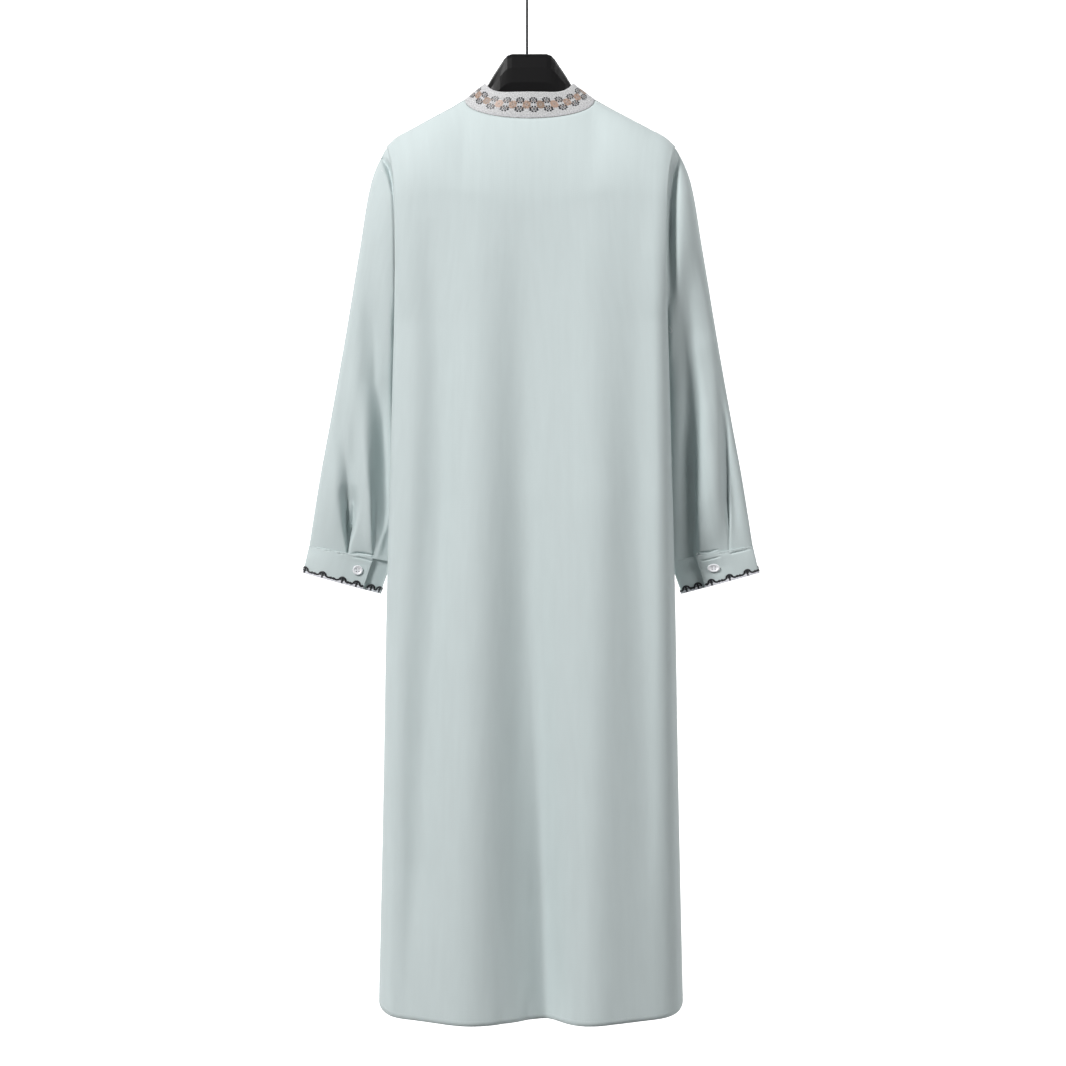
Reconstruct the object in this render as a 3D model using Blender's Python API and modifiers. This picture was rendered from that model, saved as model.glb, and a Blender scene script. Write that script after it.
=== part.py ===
"""Loose ankle-length robe with a stand collar, hung on a wide-shouldered clothes hanger.

The frame is X across the garment, Z up, and the garment's back faces -Y. The origin is the inner top of
the hanger's hook, where a rail holds it. Every size below is in millimetres, and across is measured from
the garment's own centre line, GARMENT_CENTRE from the hook.
"""

import math

import bmesh
import bpy
import numpy as np
from mathutils import Matrix, Vector

MM = 0.001
SEAM_GAP = 0.3
CLOTH = 1.6
BAND_CLOTH = 2.4
CUFF_CLOTH = 2.2
TRIM_CLOTH = 1.0

GARMENT_CENTRE = 6.0
NECK_SHIFT = -3.0

UNDERARM_Z = -551.0
SHOULDER_TIP_Z = -284.0
SHOULDER_TIP_ACROSS = 216.0
NECK_POINT_Z = -214.0
NECK_POINT_ACROSS = 97.0
HEM_Z = -1573.0
HEM_DIP = 5.0

# How far the neckline drops at the middle, and how it curves down to it: 1 follows a circle.
NECK_BACK = (35.0, 0.88)
NECK_FRONT = (62.0, 1.2)

PANEL_COLUMNS = 28
SHOULDER_COLUMNS = 7
BODY_ROWS = 13
ARMHOLE_ROWS = 12
SLEEVE_ROWS = 18
# Above 1, the sleeve's columns lie closer together at the shoulder tip.
TURN_SPREAD = 1.15

# Sections of the body from shoulder to hem: height, half of its width at the side seams, how far forward
# the side seams lie, how deep the back and the front hang, and how square each half of the section is.
BODY = {
    "z":            (-284.0, -551.0, -739.0, -964.0, -1264.0, -1573.0),
    "half_width":   (198.0, 203.0, 208.0, 214.0, 219.5, 226.5),
    "seam_y":       (-24.0, -20.0, -16.0, -10.0, -4.0, 0.0),
    "back_depth":   (60.0, 68.0, 76.0, 86.0, 97.0, 106.0),
    "front_depth":  (54.0, 62.0, 70.0, 80.0, 92.0, 102.0),
    "back_square":  (4.6, 4.2, 3.8, 3.2, 2.7, 2.4),
    "front_square": (2.6, 2.5, 2.5, 2.4, 2.3, 2.3),
}

# The armhole's two edges from the underarm to the shoulder tip.
ARMHOLE = {
    "z":          (-551.0, -510.0, -457.0, -400.0, -347.0, -315.0, -295.0, -284.0),
    "half_width": (203.0, 201.5, 200.5, 201.0, 203.0, 207.5, 212.5, 216.0),
    "back_y":     (-20.0, -36.0, -45.0, -47.0, -42.0, -30.0, -16.0, 0.0),
    "front_y":    (-20.0, 6.0, 30.0, 41.0, 40.0, 30.0, 16.0, 0.0),
}

# The ridge of the shoulders, on over the neck, where the cloth is cut away, how far below it the panels
# take to reach their full depth, and how round they are there: 2 is a quarter circle, 1 a straight slope.
SHOULDER = {
    "across": (0.0, 40.0, 75.0, 97.0, 118.5, 141.0, 180.0, 202.5, 216.0),
    "z":      (-202.0, -203.5, -207.5, -214.0, -226.0, -238.0, -259.0, -271.5, -284.0),
    "roll":   (172.0, 170.0, 160.0, 150.0, 136.0, 126.0, 113.0, 107.0, 104.0),
    "round":  (1.80, 1.75, 1.60, 1.50, 1.70, 1.90, 2.00, 2.00, 2.00),
}

# Sections of a sleeve from the armhole to the cuff seam. The outer and inner lines are its two silhouette
# edges, centre_y and half_depth give the tube between them, and settle is how far it has left the armhole's
# own outline.
SLEEVE = {
    "along":      (0.0, 0.12, 0.30, 0.50, 0.70, 0.85, 1.0),
    "outer_x":    (216.0, 237.0, 258.0, 280.0, 302.0, 319.0, 335.0),
    "outer_z":    (-284.0, -331.0, -440.0, -570.0, -692.0, -784.0, -884.0),
    "inner_x":    (203.0, 208.5, 207.5, 206.0, 205.5, 207.0, 212.0),
    "inner_z":    (-551.0, -574.0, -628.0, -696.0, -776.0, -842.0, -907.0),
    "centre_y":   (0.0, 8.0, 24.0, 29.0, 30.0, 30.0, 30.0),
    "half_depth": (45.0, 43.0, 38.0, 33.0, 29.0, 25.0, 13.0),
    "settle":     (0.0, 0.45, 0.9, 1.0, 1.0, 1.0, 1.0),
}
SLEEVE_BOTTOM_SQUARE = 2.4

# The cuff below that seam.
CUFF_OUTER_X, CUFF_OUTER_Z = 344.0, -924.0
CUFF_INNER_X, CUFF_INNER_Z = 229.0, -955.0
CUFF_UNDERLAP_START = 0.24
CUFF_OVERLAP_END = 1.3485
CUFF_LAYER_STEP = 2.9
CUFF_LAP_START, CUFF_LAP_RUN = 1.04, 0.16
CUFF_COLUMNS = 34
TRIM_HEIGHT = 7.0
CUFF_HEIGHT = 48.0

# Upright folds that stand out of the body: where each one runs at chest, middle and hem, how wide it is and
# how far it stands out there. A negative rise is a trough.
FOLD_LEVELS = (-300.0, -454.0, -814.0, -1174.0, -1573.0)
BACK_FOLDS = (
    # name            across at each level                    width  rise at each level
    ("left rim",     (-188.0, -187.0, -176.0, -196.0, -204.0), 20.0, (0.0, 1.6, 3.6, 1.5, 0.0)),
    ("left ridge",   (-80.0, -76.0, -70.0, -80.0, -92.0), 44.0, (0.0, 2.6, 5.6, 7.5, 9.0)),
    ("middle trough", (0.0, 0.0, -3.0, 14.0, 24.0), 26.0, (0.0, -1.0, -1.8, -3.0, -5.0)),
    ("right ridge",  (92.0, 92.0, 90.0, 94.0, 98.0), 34.0, (0.0, 2.4, 5.0, 5.0, 5.5)),
    ("right rim",    (190.0, 190.0, 190.0, 196.0, 200.0), 18.0, (0.0, 2.2, 4.0, 2.0, 1.0)),
)
FRONT_FOLDS = (
    ("left ridge",   (-105.0, -110.0, -120.0, -126.0, -130.0), 36.0, (0.0, 2.0, 4.5, 6.5, 8.0)),
    ("left trough",  (-40.0, -44.0, -50.0, -58.0, -66.0), 26.0, (0.0, 0.0, -1.6, -3.0, -4.0)),
    ("right ridge",  (60.0, 66.0, 74.0, 70.0, 64.0), 38.0, (0.0, 0.0, 3.0, 6.0, 8.0)),
    ("right rim",    (150.0, 154.0, 160.0, 164.0, 168.0), 26.0, (0.0, 1.6, 3.2, 4.0, 4.5)),
)

# Folds along a sleeve: which side they are on, where they run across it from its outer edge (0) to its inner
# edge (1) at start and end, where they start, are fullest and end along it, their width and their rise.
LEFT_SLEEVE_FOLDS = (
    # side     across        along               width  rise
    ("back", (0.26, 0.26), (0.42, 0.80, 0.99), 0.13, 4.0),
    ("back", (0.30, 0.47), (0.40, 0.88, 1.00), 0.09, -8.0),
    ("back", (0.40, 0.72), (0.25, 0.80, 1.00), 0.12, 6.5),
    ("back", (0.75, 0.90), (0.20, 0.65, 0.98), 0.12, -7.0),
    ("front", (0.35, 0.45), (0.30, 0.75, 0.98), 0.14, 5.0),
    ("front", (0.70, 0.72), (0.15, 0.60, 0.98), 0.12, -5.0),
)
RIGHT_SLEEVE_FOLDS = (
    ("back", (0.10, 0.17), (0.45, 0.88, 1.00), 0.07, -7.0),
    ("back", (0.34, 0.38), (0.30, 0.80, 0.99), 0.12, 5.5),
    ("back", (0.60, 0.70), (0.20, 0.72, 1.00), 0.13, -8.5),
    ("front", (0.25, 0.40), (0.30, 0.70, 0.98), 0.14, 4.5),
    ("front", (0.66, 0.62), (0.18, 0.65, 0.98), 0.12, -5.0),
)

# Folds on a panel fade out over the last part of its width, at its side seams.
FOLD_REACH = 1.25

# The collar band's upper edge.
BAND_TOP_ACROSS = 66.0
BAND_TOP_BACK_DEPTH = 37.0
BAND_TOP_FRONT_DEPTH = 44.0
BAND_PEAK_Z = -190.0
BAND_TOP_BACK_DROP = 19.0
BAND_TOP_FRONT_DROP = 36.0
BAND_END_GAP = 1.2

PLACKET_COLUMNS = 1
PLACKET_LENGTH = 330.0
PLACKET_BUTTON_DROPS = (70.0, 150.0, 230.0)

BUTTON_RADIUS = 7.0
BUTTON_THICKNESS = 2.4
BUTTON_RIM = 1.3
BUTTON_HOLE_RADIUS = 0.85
BUTTON_HOLE_PLACE = 1.75
CUFF_BUTTON_PLACES = {"left": 1.300, "right": 1.262}

# The hanger's front outline: how high its top and underside are and how deep it is from its middle to a tip.
HANGER = {
    "across":     (0.0, 26.0, 33.0, 38.0, 44.0, 54.0, 63.0, 78.0, 92.0),
    "top":        (-145.0, -145.0, -147.5, -153.0, -162.0, -177.0, -192.0, -207.5, -221.0),
    "underside":  (-234.0, -235.0, -236.0, -237.0, -238.0, -240.0, -243.0, -248.0, -254.0),
    "half_depth": (12.0, 12.0, 12.0, 12.0, 12.0, 11.0, 9.0, 8.0, 8.0),
}
HANGER_TIP_ACROSS = 200.0
# The arms from where they leave the collar to their tips.
HANGER_ARM = {
    "share":       (0.0, 0.2, 0.4, 0.6, 0.8, 1.0),
    "height":      (36.0, 34.0, 32.0, 29.0, 26.0, 18.0),
    "half_depth":  (11.0, 13.0, 15.0, 15.0, 13.0, 8.0),
    "under_cloth": (0.5, 0.5, 0.5, 0.5, 0.8, 3.0),
}
HANGER_RING_POINTS = 12

WIRE_RADIUS = 1.9
HOOK_RADIUS = 20.0
HOOK_TIP_ANGLE = 205.0
HOOK_LEAVE_ANGLE = -50.0
WIRE_SOCKET_DEPTH = 14.0
WIRE_SOCKET_CLEARANCE = 0.3

FINISHES = {
    "robe_cloth": ((0.55, 0.64, 0.63), 0.85, 0.0),
    "collar_ribbon": ((0.78, 0.75, 0.80), 0.80, 0.0),
    "cuff_ribbon": ((0.70, 0.70, 0.72), 0.80, 0.0),
    "white_button": ((0.86, 0.86, 0.88), 0.30, 0.0),
    "black_plastic": ((0.012, 0.012, 0.013), 0.35, 0.0),
    "black_wire": ((0.015, 0.015, 0.016), 0.30, 0.8),
}


def read(table, column, key, at):
    """Reads a table's column at any place along its key, on a smooth curve through the rows."""
    places = np.array(table[key], float)
    values = np.array(table[column], float)
    if places[0] > places[-1]:
        places, values = places[::-1], values[::-1]
    slopes = np.gradient(values, places)
    at = np.clip(np.asarray(at, float), places[0], places[-1])
    row = np.clip(np.searchsorted(places, at, side="right") - 1, 0, len(places) - 2)
    span = places[row + 1] - places[row]
    t = (at - places[row]) / span
    start = (2 * t**3 - 3 * t**2 + 1) * values[row] + (t**3 - 2 * t**2 + t) * span * slopes[row]
    end = (3 * t**2 - 2 * t**3) * values[row + 1] + (t**3 - t**2) * span * slopes[row + 1]
    return start + end


def ease(t):
    """Goes from 0 to 1 with no corner at either end."""
    t = np.clip(t, 0.0, 1.0)
    return t * t * (3.0 - 2.0 * t)


def top_edge(side, half):
    """A panel's upper edge, across and up. half is 0 at the shoulder tip and 1 at the neck's centre."""
    neck_half = 2.0 * SHOULDER_COLUMNS / PANEL_COLUMNS
    on_shoulder = np.clip(half / neck_half, 0.0, 1.0)
    across = SHOULDER_TIP_ACROSS + (NECK_POINT_ACROSS - SHOULDER_TIP_ACROSS) * on_shoulder
    z = read(SHOULDER, "z", "across", across)
    turn = np.clip((half - neck_half) / (1.0 - neck_half), 0.0, 1.0) * math.pi / 2.0
    drop, power = NECK_BACK if side < 0 else NECK_FRONT
    at_neck = half > neck_half
    across = np.where(at_neck, NECK_POINT_ACROSS * np.cos(turn), across)
    z = np.where(at_neck, NECK_POINT_Z - drop * np.sin(turn) ** power, z)
    return across, z


def even_spread(width, depth, square, half):
    """Where across a section its columns lie, evenly spaced along the cloth. Returns 1 at the seam."""
    turn = np.linspace(0.0, math.pi / 2.0, 400)
    x = np.cos(turn) ** (2.0 / square)
    y = np.sin(turn) ** (2.0 / square)
    length = np.concatenate(([0.0], np.cumsum(np.hypot(np.diff(x * width), np.diff(y * depth)))))
    return np.interp(half * length[-1], length, x)


def folds(table, across, z):
    """How far the upright folds stand out at a place on a panel."""
    out = np.zeros(np.shape(across))
    levels = np.array(FOLD_LEVELS[::-1])
    for _, line, width, rise in table:
        centre = np.interp(z, levels, np.array(line[::-1]))
        height = np.interp(z, levels, np.array(rise[::-1]))
        out = out + height * np.exp(-(((across - centre) / width) ** 2))
    return out


def panel_points(side, columns, rows):
    """The middle of a panel's cloth. Rows run 0 at the hem, 1 at the underarm and 2 along the top edge."""
    u = np.asarray(columns, float)[None, :]
    v = np.asarray(rows, float)[:, None]
    half = 1.0 - np.abs(2.0 * u - 1.0)
    sign = np.where(u < 0.5, -1.0, 1.0)
    name = "back" if side < 0 else "front"
    top_across, top_z = top_edge(side, half)
    upper = np.clip(v - 1.0, 0.0, 1.0)
    lower = np.clip(v, 0.0, 1.0)
    hem = HEM_Z - HEM_DIP * np.sin(half * math.pi / 2.0) ** 2
    above = v > 1.0
    z = np.where(above, UNDERARM_Z + (top_z - UNDERARM_Z) * upper, hem + (UNDERARM_Z - hem) * lower)
    edge_above = UNDERARM_Z + (SHOULDER_TIP_Z - UNDERARM_Z) * upper
    edge_z = np.where(above, edge_above, HEM_Z + (UNDERARM_Z - HEM_Z) * lower)
    width = np.where(above, read(ARMHOLE, "half_width", "z", edge_z), read(BODY, "half_width", "z", edge_z))
    edge_y = np.where(above, read(ARMHOLE, name + "_y", "z", edge_z), read(BODY, "seam_y", "z", edge_z))
    depth = side * read(BODY, name + "_depth", "z", edge_z)
    square = read(BODY, name + "_square", "z", edge_z)
    spread = np.array([even_spread(w[0], abs(d[0] - e[0]), s[0], half[0])
                       for w, d, e, s in zip(width, depth, edge_y, square)])
    share = spread + (top_across / SHOULDER_TIP_ACROSS - spread) * ease(upper)
    across = share * width
    ridge = read(SHOULDER, "z", "across", across)
    roll = np.clip((ridge - z) / read(SHOULDER, "roll", "across", across), 0.0, 1.0)
    roundness = read(SHOULDER, "round", "across", across)
    full = depth * (1.0 - (1.0 - roll) ** roundness) ** (1.0 / roundness)
    bulge = (1.0 - np.clip(share, 0.0, 1.0) ** square) ** (1.0 / square)
    across = sign * across
    standing = folds(BACK_FOLDS if side < 0 else FRONT_FOLDS, across, z)
    y = edge_y + (full - edge_y) * bulge + side * standing * np.clip(bulge * FOLD_REACH, 0.0, 1.0) ** 2
    x = across + NECK_SHIFT * (1.0 - share) * ease(upper) + GARMENT_CENTRE
    return np.stack(np.broadcast_arrays(x, y, z), axis=-1)


def armhole_turns():
    """The sleeve's columns, from the shoulder tip down the back edge: 0 at the tip, 0.5 at the underarm."""
    return 0.5 * (np.arange(ARMHOLE_ROWS + 1) / ARMHOLE_ROWS) ** TURN_SPREAD


def panel_rows():
    """A panel's rows: even below the underarm, and then level with the sleeve's columns."""
    below = np.linspace(0.0, 1.0, BODY_ROWS + 1)
    above = 1.0 + (1.0 + np.cos(2.0 * math.pi * armhole_turns()[::-1])) / 2.0
    return np.concatenate((below, above[1:]))


def sleeve_turns():
    """All of the sleeve's columns, on round the front back to the shoulder tip."""
    back = armhole_turns()
    return np.concatenate((back, 1.0 - back[-2:0:-1]))


def sleeve_folds(table, turn, along):
    """How far a sleeve's folds stand out."""
    share = (1.0 - np.cos(2.0 * math.pi * turn)) / 2.0
    on_back = (turn % 1.0) <= 0.5
    out = np.zeros(np.broadcast(turn, along).shape)
    for side, (first, last), (start, fullest, end), width, rise in table:
        centre = first + (last - first) * np.clip((along - start) / (end - start), 0.0, 1.0)
        height = ease((along - start) / (fullest - start)) * ease((end - along) / (end - fullest))
        here = on_back if side == "back" else ~on_back
        out = out + rise * height * np.exp(-(((share - centre) / width) ** 2)) * here
    return out * np.abs(np.sin(2.0 * math.pi * turn)) ** 0.5


def sleeve_points(hand, turns, alongs):
    """The middle of a sleeve's cloth. hand is -1 for the one at -X, and turns run as armhole_turns says."""
    turn = np.asarray(turns, float)[None, :]
    along = np.asarray(alongs, float)[:, None]
    column = {name: read(SLEEVE, name, "along", along) for name in SLEEVE if name != "along"}
    swing = np.cos(2.0 * math.pi * turn)
    depth_side = -np.sin(2.0 * math.pi * turn)
    x = (column["outer_x"] + column["inner_x"]) / 2.0 + (column["outer_x"] - column["inner_x"]) / 2.0 * swing
    z = (column["outer_z"] + column["inner_z"]) / 2.0 + (column["outer_z"] - column["inner_z"]) / 2.0 * swing
    middle_z = (SHOULDER_TIP_Z + UNDERARM_Z) / 2.0
    hole_z = middle_z + (SHOULDER_TIP_Z - UNDERARM_Z) / 2.0 * swing
    hole_x = read(ARMHOLE, "half_width", "z", hole_z)
    straight_x = (SHOULDER_TIP_ACROSS + ARMHOLE["half_width"][0]) / 2.0
    straight_x = straight_x + (SHOULDER_TIP_ACROSS - ARMHOLE["half_width"][0]) / 2.0 * swing
    back_edge = read(ARMHOLE, "back_y", "z", hole_z)
    front_edge = read(ARMHOLE, "front_y", "z", hole_z)
    hole_y = np.where((turn % 1.0) <= 0.5, back_edge, front_edge)
    settle = np.clip(column["settle"], 0.0, 1.0)
    square = 2.0 / (2.0 + (SLEEVE_BOTTOM_SQUARE - 2.0) * along)
    tube_y = column["centre_y"] + column["half_depth"] * np.sign(depth_side) * np.abs(depth_side) ** square
    table = LEFT_SLEEVE_FOLDS if hand < 0 else RIGHT_SLEEVE_FOLDS
    tube_y = tube_y + np.sign(depth_side) * sleeve_folds(table, turn, along)
    x = x + (hole_x - straight_x) * (1.0 - settle)
    y = hole_y + (tube_y - hole_y) * settle
    return np.stack(np.broadcast_arrays(hand * x + GARMENT_CENTRE, y, z), axis=-1)


def cuff_points(hand, turns, downs):
    """The middle of a cuff's cloth, from the sleeve's seam (0) to its lower edge (1)."""
    turn = np.asarray(turns, float)[None, :]
    down = np.asarray(downs, float)[:, None]
    swing = np.cos(2.0 * math.pi * turn)
    depth_side = -np.sin(2.0 * math.pi * turn)
    outer_x = SLEEVE["outer_x"][-1] + (CUFF_OUTER_X - SLEEVE["outer_x"][-1]) * down
    outer_z = SLEEVE["outer_z"][-1] + (CUFF_OUTER_Z - SLEEVE["outer_z"][-1]) * down
    inner_x = SLEEVE["inner_x"][-1] + (CUFF_INNER_X - SLEEVE["inner_x"][-1]) * down
    inner_z = SLEEVE["inner_z"][-1] + (CUFF_INNER_Z - SLEEVE["inner_z"][-1]) * down
    x = (outer_x + inner_x) / 2.0 + (outer_x - inner_x) / 2.0 * swing
    z = (outer_z + inner_z) / 2.0 + (outer_z - inner_z) / 2.0 * swing
    lapped = ease((turn - CUFF_LAP_START) / CUFF_LAP_RUN)
    depth = SLEEVE["half_depth"][-1] + CUFF_LAYER_STEP * lapped
    rounded = np.sign(depth_side) * np.abs(depth_side) ** (2.0 / SLEEVE_BOTTOM_SQUARE)
    y = SLEEVE["centre_y"][-1] + depth * rounded
    return np.stack(np.broadcast_arrays(hand * x + GARMENT_CENTRE, y, z), axis=-1)


def band_points(neck_line, rows):
    """The middle of the collar band, from the neck seam up to its leaning upper edge."""
    turn = np.linspace(-math.pi / 2.0, 1.5 * math.pi, len(neck_line))
    front_amount = np.clip(-np.sin(turn), 0.0, 1.0)
    back_amount = np.clip(np.sin(turn), 0.0, 1.0)
    x = GARMENT_CENTRE + NECK_SHIFT - BAND_TOP_ACROSS * np.cos(turn)
    y = BAND_TOP_FRONT_DEPTH * front_amount - BAND_TOP_BACK_DEPTH * back_amount
    drop = BAND_TOP_FRONT_DROP * front_amount**1.4 + BAND_TOP_BACK_DROP * (1.0 - (1.0 - back_amount**2) ** 3)
    top_line = np.stack((x, y, BAND_PEAK_Z - drop), axis=-1)
    share = np.asarray(rows, float)[:, None, None]
    return neck_line[None] + (top_line - neck_line)[None] * share


def unit(vectors):
    """Vectors of length 1."""
    return vectors / np.maximum(np.linalg.norm(vectors, axis=-1, keepdims=True), 1e-12)


def grid_normals(points, closed):
    """The direction that faces out of the cloth at each point of its grid."""
    along_rows = np.gradient(points, axis=0)
    if closed:
        along_columns = (np.roll(points, -1, axis=1) - np.roll(points, 1, axis=1)) / 2.0
    else:
        along_columns = np.gradient(points, axis=1)
    normals = unit(np.cross(along_columns, along_rows))
    centre = points.mean(axis=1, keepdims=True)
    level = (points - centre) * np.array((1.0, 1.0, 0.0))
    return normals if (normals * level).sum() > 0.0 else -normals


# The thick band stands off the thinner panels a little further where the neck seam twists over the shoulder.
BAND_GAP_SHARE = 1.5
SEAM_EDGES = {
    "back_panel": ("top", "left", "right"),
    "front_panel": ("top", "left", "right"),
    "collar_band": ("bottom",),
}
ALL = slice(None)
EDGE_INDEX = {"top": (-1, ALL), "bottom": (0, ALL), "left": (ALL, 0), "right": (ALL, -1)}
EDGE_INSIDE = {"top": (-2, ALL), "bottom": (1, ALL), "left": (ALL, 1), "right": (ALL, -2)}


def meet_at_seams(points, normals):
    """Gives pieces that meet the same normal along their seam, and parts them there by the seam's gap."""
    ends = [(piece, edge, points[piece][EDGE_INDEX[edge]])
            for piece in SEAM_EDGES for edge in SEAM_EDGES[piece]]
    places = np.concatenate([place for _, _, place in ends])
    facing = np.concatenate([normals[piece][EDGE_INDEX[edge]] for piece, edge, _ in ends])
    moved = {piece: points[piece].copy() for piece in SEAM_EDGES}
    for piece, edge, place in ends:
        near = np.linalg.norm(place[:, None] - places[None], axis=-1) < SEAM_GAP / 2.0
        shared = unit((near[:, :, None] * facing[None]).sum(axis=1))
        normals[piece][EDGE_INDEX[edge]] = shared
        meets = near.sum(axis=1) > 1
        inward = points[piece][EDGE_INSIDE[edge]] - place
        away = unit(np.cross(shared, np.gradient(place, axis=0)))
        away = away * np.sign((away * inward).sum(axis=-1, keepdims=True))
        share = BAND_GAP_SHARE if piece == "collar_band" else 0.5
        moved[piece][EDGE_INDEX[edge]] += away * SEAM_GAP * share * meets[:, None]
    points.update(moved)


def paint(thing, finish):
    """Gives a piece its material."""
    colour, roughness, metallic = FINISHES[finish]
    material = bpy.data.materials.get(finish) or bpy.data.materials.new(finish)
    material.use_nodes = True
    shader = material.node_tree.nodes["Principled BSDF"]
    shader.inputs["Base Color"].default_value = (*colour, 1.0)
    shader.inputs["Roughness"].default_value = roughness
    shader.inputs["Metallic"].default_value = metallic
    thing.data.materials.append(material)


def mesh_object(name, vertices, faces, finish, collection):
    """One closed body from its points in millimetres, shaded smooth."""
    mesh = bpy.data.meshes.new(name)
    mesh.from_pydata((np.asarray(vertices) * MM).tolist(), [], faces)
    work = bmesh.new()
    work.from_mesh(mesh)
    bmesh.ops.recalc_face_normals(work, faces=work.faces)
    work.to_mesh(mesh)
    work.free()
    mesh.shade_smooth()
    mesh.set_sharp_from_angle(angle=math.radians(50.0))
    thing = bpy.data.objects.new(name, mesh)
    collection.objects.link(thing)
    paint(thing, finish)
    return thing


def wall(name, middle, normals, thickness, closed, finish, collection):
    """Cloth of one thickness: an outer and an inner grid of points, closed along their edges."""
    rows, columns = middle.shape[:2]
    outer = middle + normals * thickness / 2.0
    inner = middle - normals * thickness / 2.0
    vertices = np.concatenate((outer.reshape(-1, 3), inner.reshape(-1, 3)))
    layer = rows * columns
    spans = columns if closed else columns - 1
    faces = []
    for row in range(rows - 1):
        for column in range(spans):
            following = (column + 1) % columns
            corners = (row * columns + column, row * columns + following,
                       (row + 1) * columns + following, (row + 1) * columns + column)
            faces.append(corners)
            faces.append(tuple(layer + corner for corner in reversed(corners)))
    for row in (0, rows - 1):
        for column in range(spans):
            a = row * columns + column
            b = row * columns + (column + 1) % columns
            faces.append((a, b, layer + b, layer + a))
    if not closed:
        for column in (0, columns - 1):
            for row in range(rows - 1):
                a = row * columns + column
                b = (row + 1) * columns + column
                faces.append((a, b, layer + b, layer + a))
    return mesh_object(name, vertices, faces, finish, collection)


def build_body(collection):
    """Back, front, collar band and the strip down the front. Returns what the sleeves are set on."""
    columns = np.linspace(0.0, 1.0, PANEL_COLUMNS + 1)
    rows = panel_rows()
    points = {"back_panel": panel_points(-1, columns, rows), "front_panel": panel_points(1, columns, rows)}
    first, last = SHOULDER_COLUMNS, PANEL_COLUMNS - SHOULDER_COLUMNS
    middle = PANEL_COLUMNS // 2
    back_neck = points["back_panel"][-1, first:last + 1]
    front_neck = points["front_panel"][-1, first:last + 1]
    half = middle - first
    neck_line = np.concatenate((front_neck[half:0:-1], back_neck, front_neck[-2:half - 1:-1]))
    points["collar_band"] = band_points(neck_line, (0.0, 0.5, 1.0))
    normals = {piece: grid_normals(grid, False) for piece, grid in points.items()}
    normals["collar_band"] = band_normals(points["collar_band"])
    meet_at_seams(points, normals)
    points["collar_band"][:, 0, 0] -= BAND_END_GAP / 2.0
    points["collar_band"][:, -1, 0] += BAND_END_GAP / 2.0
    for piece in ("back_panel", "front_panel"):
        wall(piece, points[piece], normals[piece], CLOTH, False, "robe_cloth", collection)
    wall("collar_band", points["collar_band"], normals["collar_band"], BAND_CLOTH, False, "collar_ribbon",
         collection)
    build_placket(points["front_panel"], normals["front_panel"], middle, collection)
    return points, normals


def band_normals(grid):
    """The collar band faces away from the neck."""
    normals = unit(np.cross(np.gradient(grid, axis=1), np.gradient(grid, axis=0)))
    away = (grid - grid.mean(axis=(0, 1))) * np.array((1.0, 1.0, 0.0))
    return normals if (normals * away).sum() > 0.0 else -normals


def build_placket(panel, normals, middle, collection):
    """The buttoned strip, raised from the front panel's own points from under the collar downwards."""
    chosen = slice(middle - PLACKET_COLUMNS, middle + PLACKET_COLUMNS + 1)
    top = panel[-1, middle, 2]
    heights = panel[:, middle, 2]
    first_row = int(np.argmin(np.abs(heights - (top - PLACKET_LENGTH))))
    strip = panel[first_row:-1, chosen]
    facing = normals[first_row:-1, chosen]
    raised = strip + facing * (CLOTH + SEAM_GAP)
    wall("front_placket", raised, facing, CLOTH, False, "robe_cloth", collection)
    for number, drop in enumerate(PLACKET_BUTTON_DROPS, start=1):
        row = np.interp(-(top - drop), -heights[::-1], np.arange(len(heights))[::-1])
        low = int(row)
        share = row - low
        place = panel[low, middle] * (1.0 - share) + panel[low + 1, middle] * share
        face = unit(normals[low, middle] * (1.0 - share) + normals[low + 1, middle] * share)
        lift = CLOTH * 1.5 + SEAM_GAP * 2.0 + BUTTON_THICKNESS / 2.0
        button(f"front_button_{number}", place + face * lift, face, collection)


def build_sleeve(hand, side, points, normals, collection):
    """One sleeve, lapped over the armhole's edge, with its cuff, trim and button."""
    turns = sleeve_turns()
    alongs = np.linspace(0.0, 1.0, SLEEVE_ROWS)
    grid = sleeve_points(hand, turns, alongs)
    column = 0 if hand < 0 else -1
    back_edge = points["back_panel"][BODY_ROWS:, column][::-1]
    back_face = normals["back_panel"][BODY_ROWS:, column][::-1]
    front_face = normals["front_panel"][BODY_ROWS:, column][::-1]
    facing = np.concatenate((back_face, front_face[-2:0:-1]))
    assert len(back_edge) == ARMHOLE_ROWS + 1 and len(facing) == len(turns)
    grid[0] += facing * (CLOTH + SEAM_GAP * 1.3)
    wall(f"{side}_sleeve", grid, grid_normals(grid, True), CLOTH, True, "robe_cloth", collection)
    build_cuff(hand, side, collection)


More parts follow.
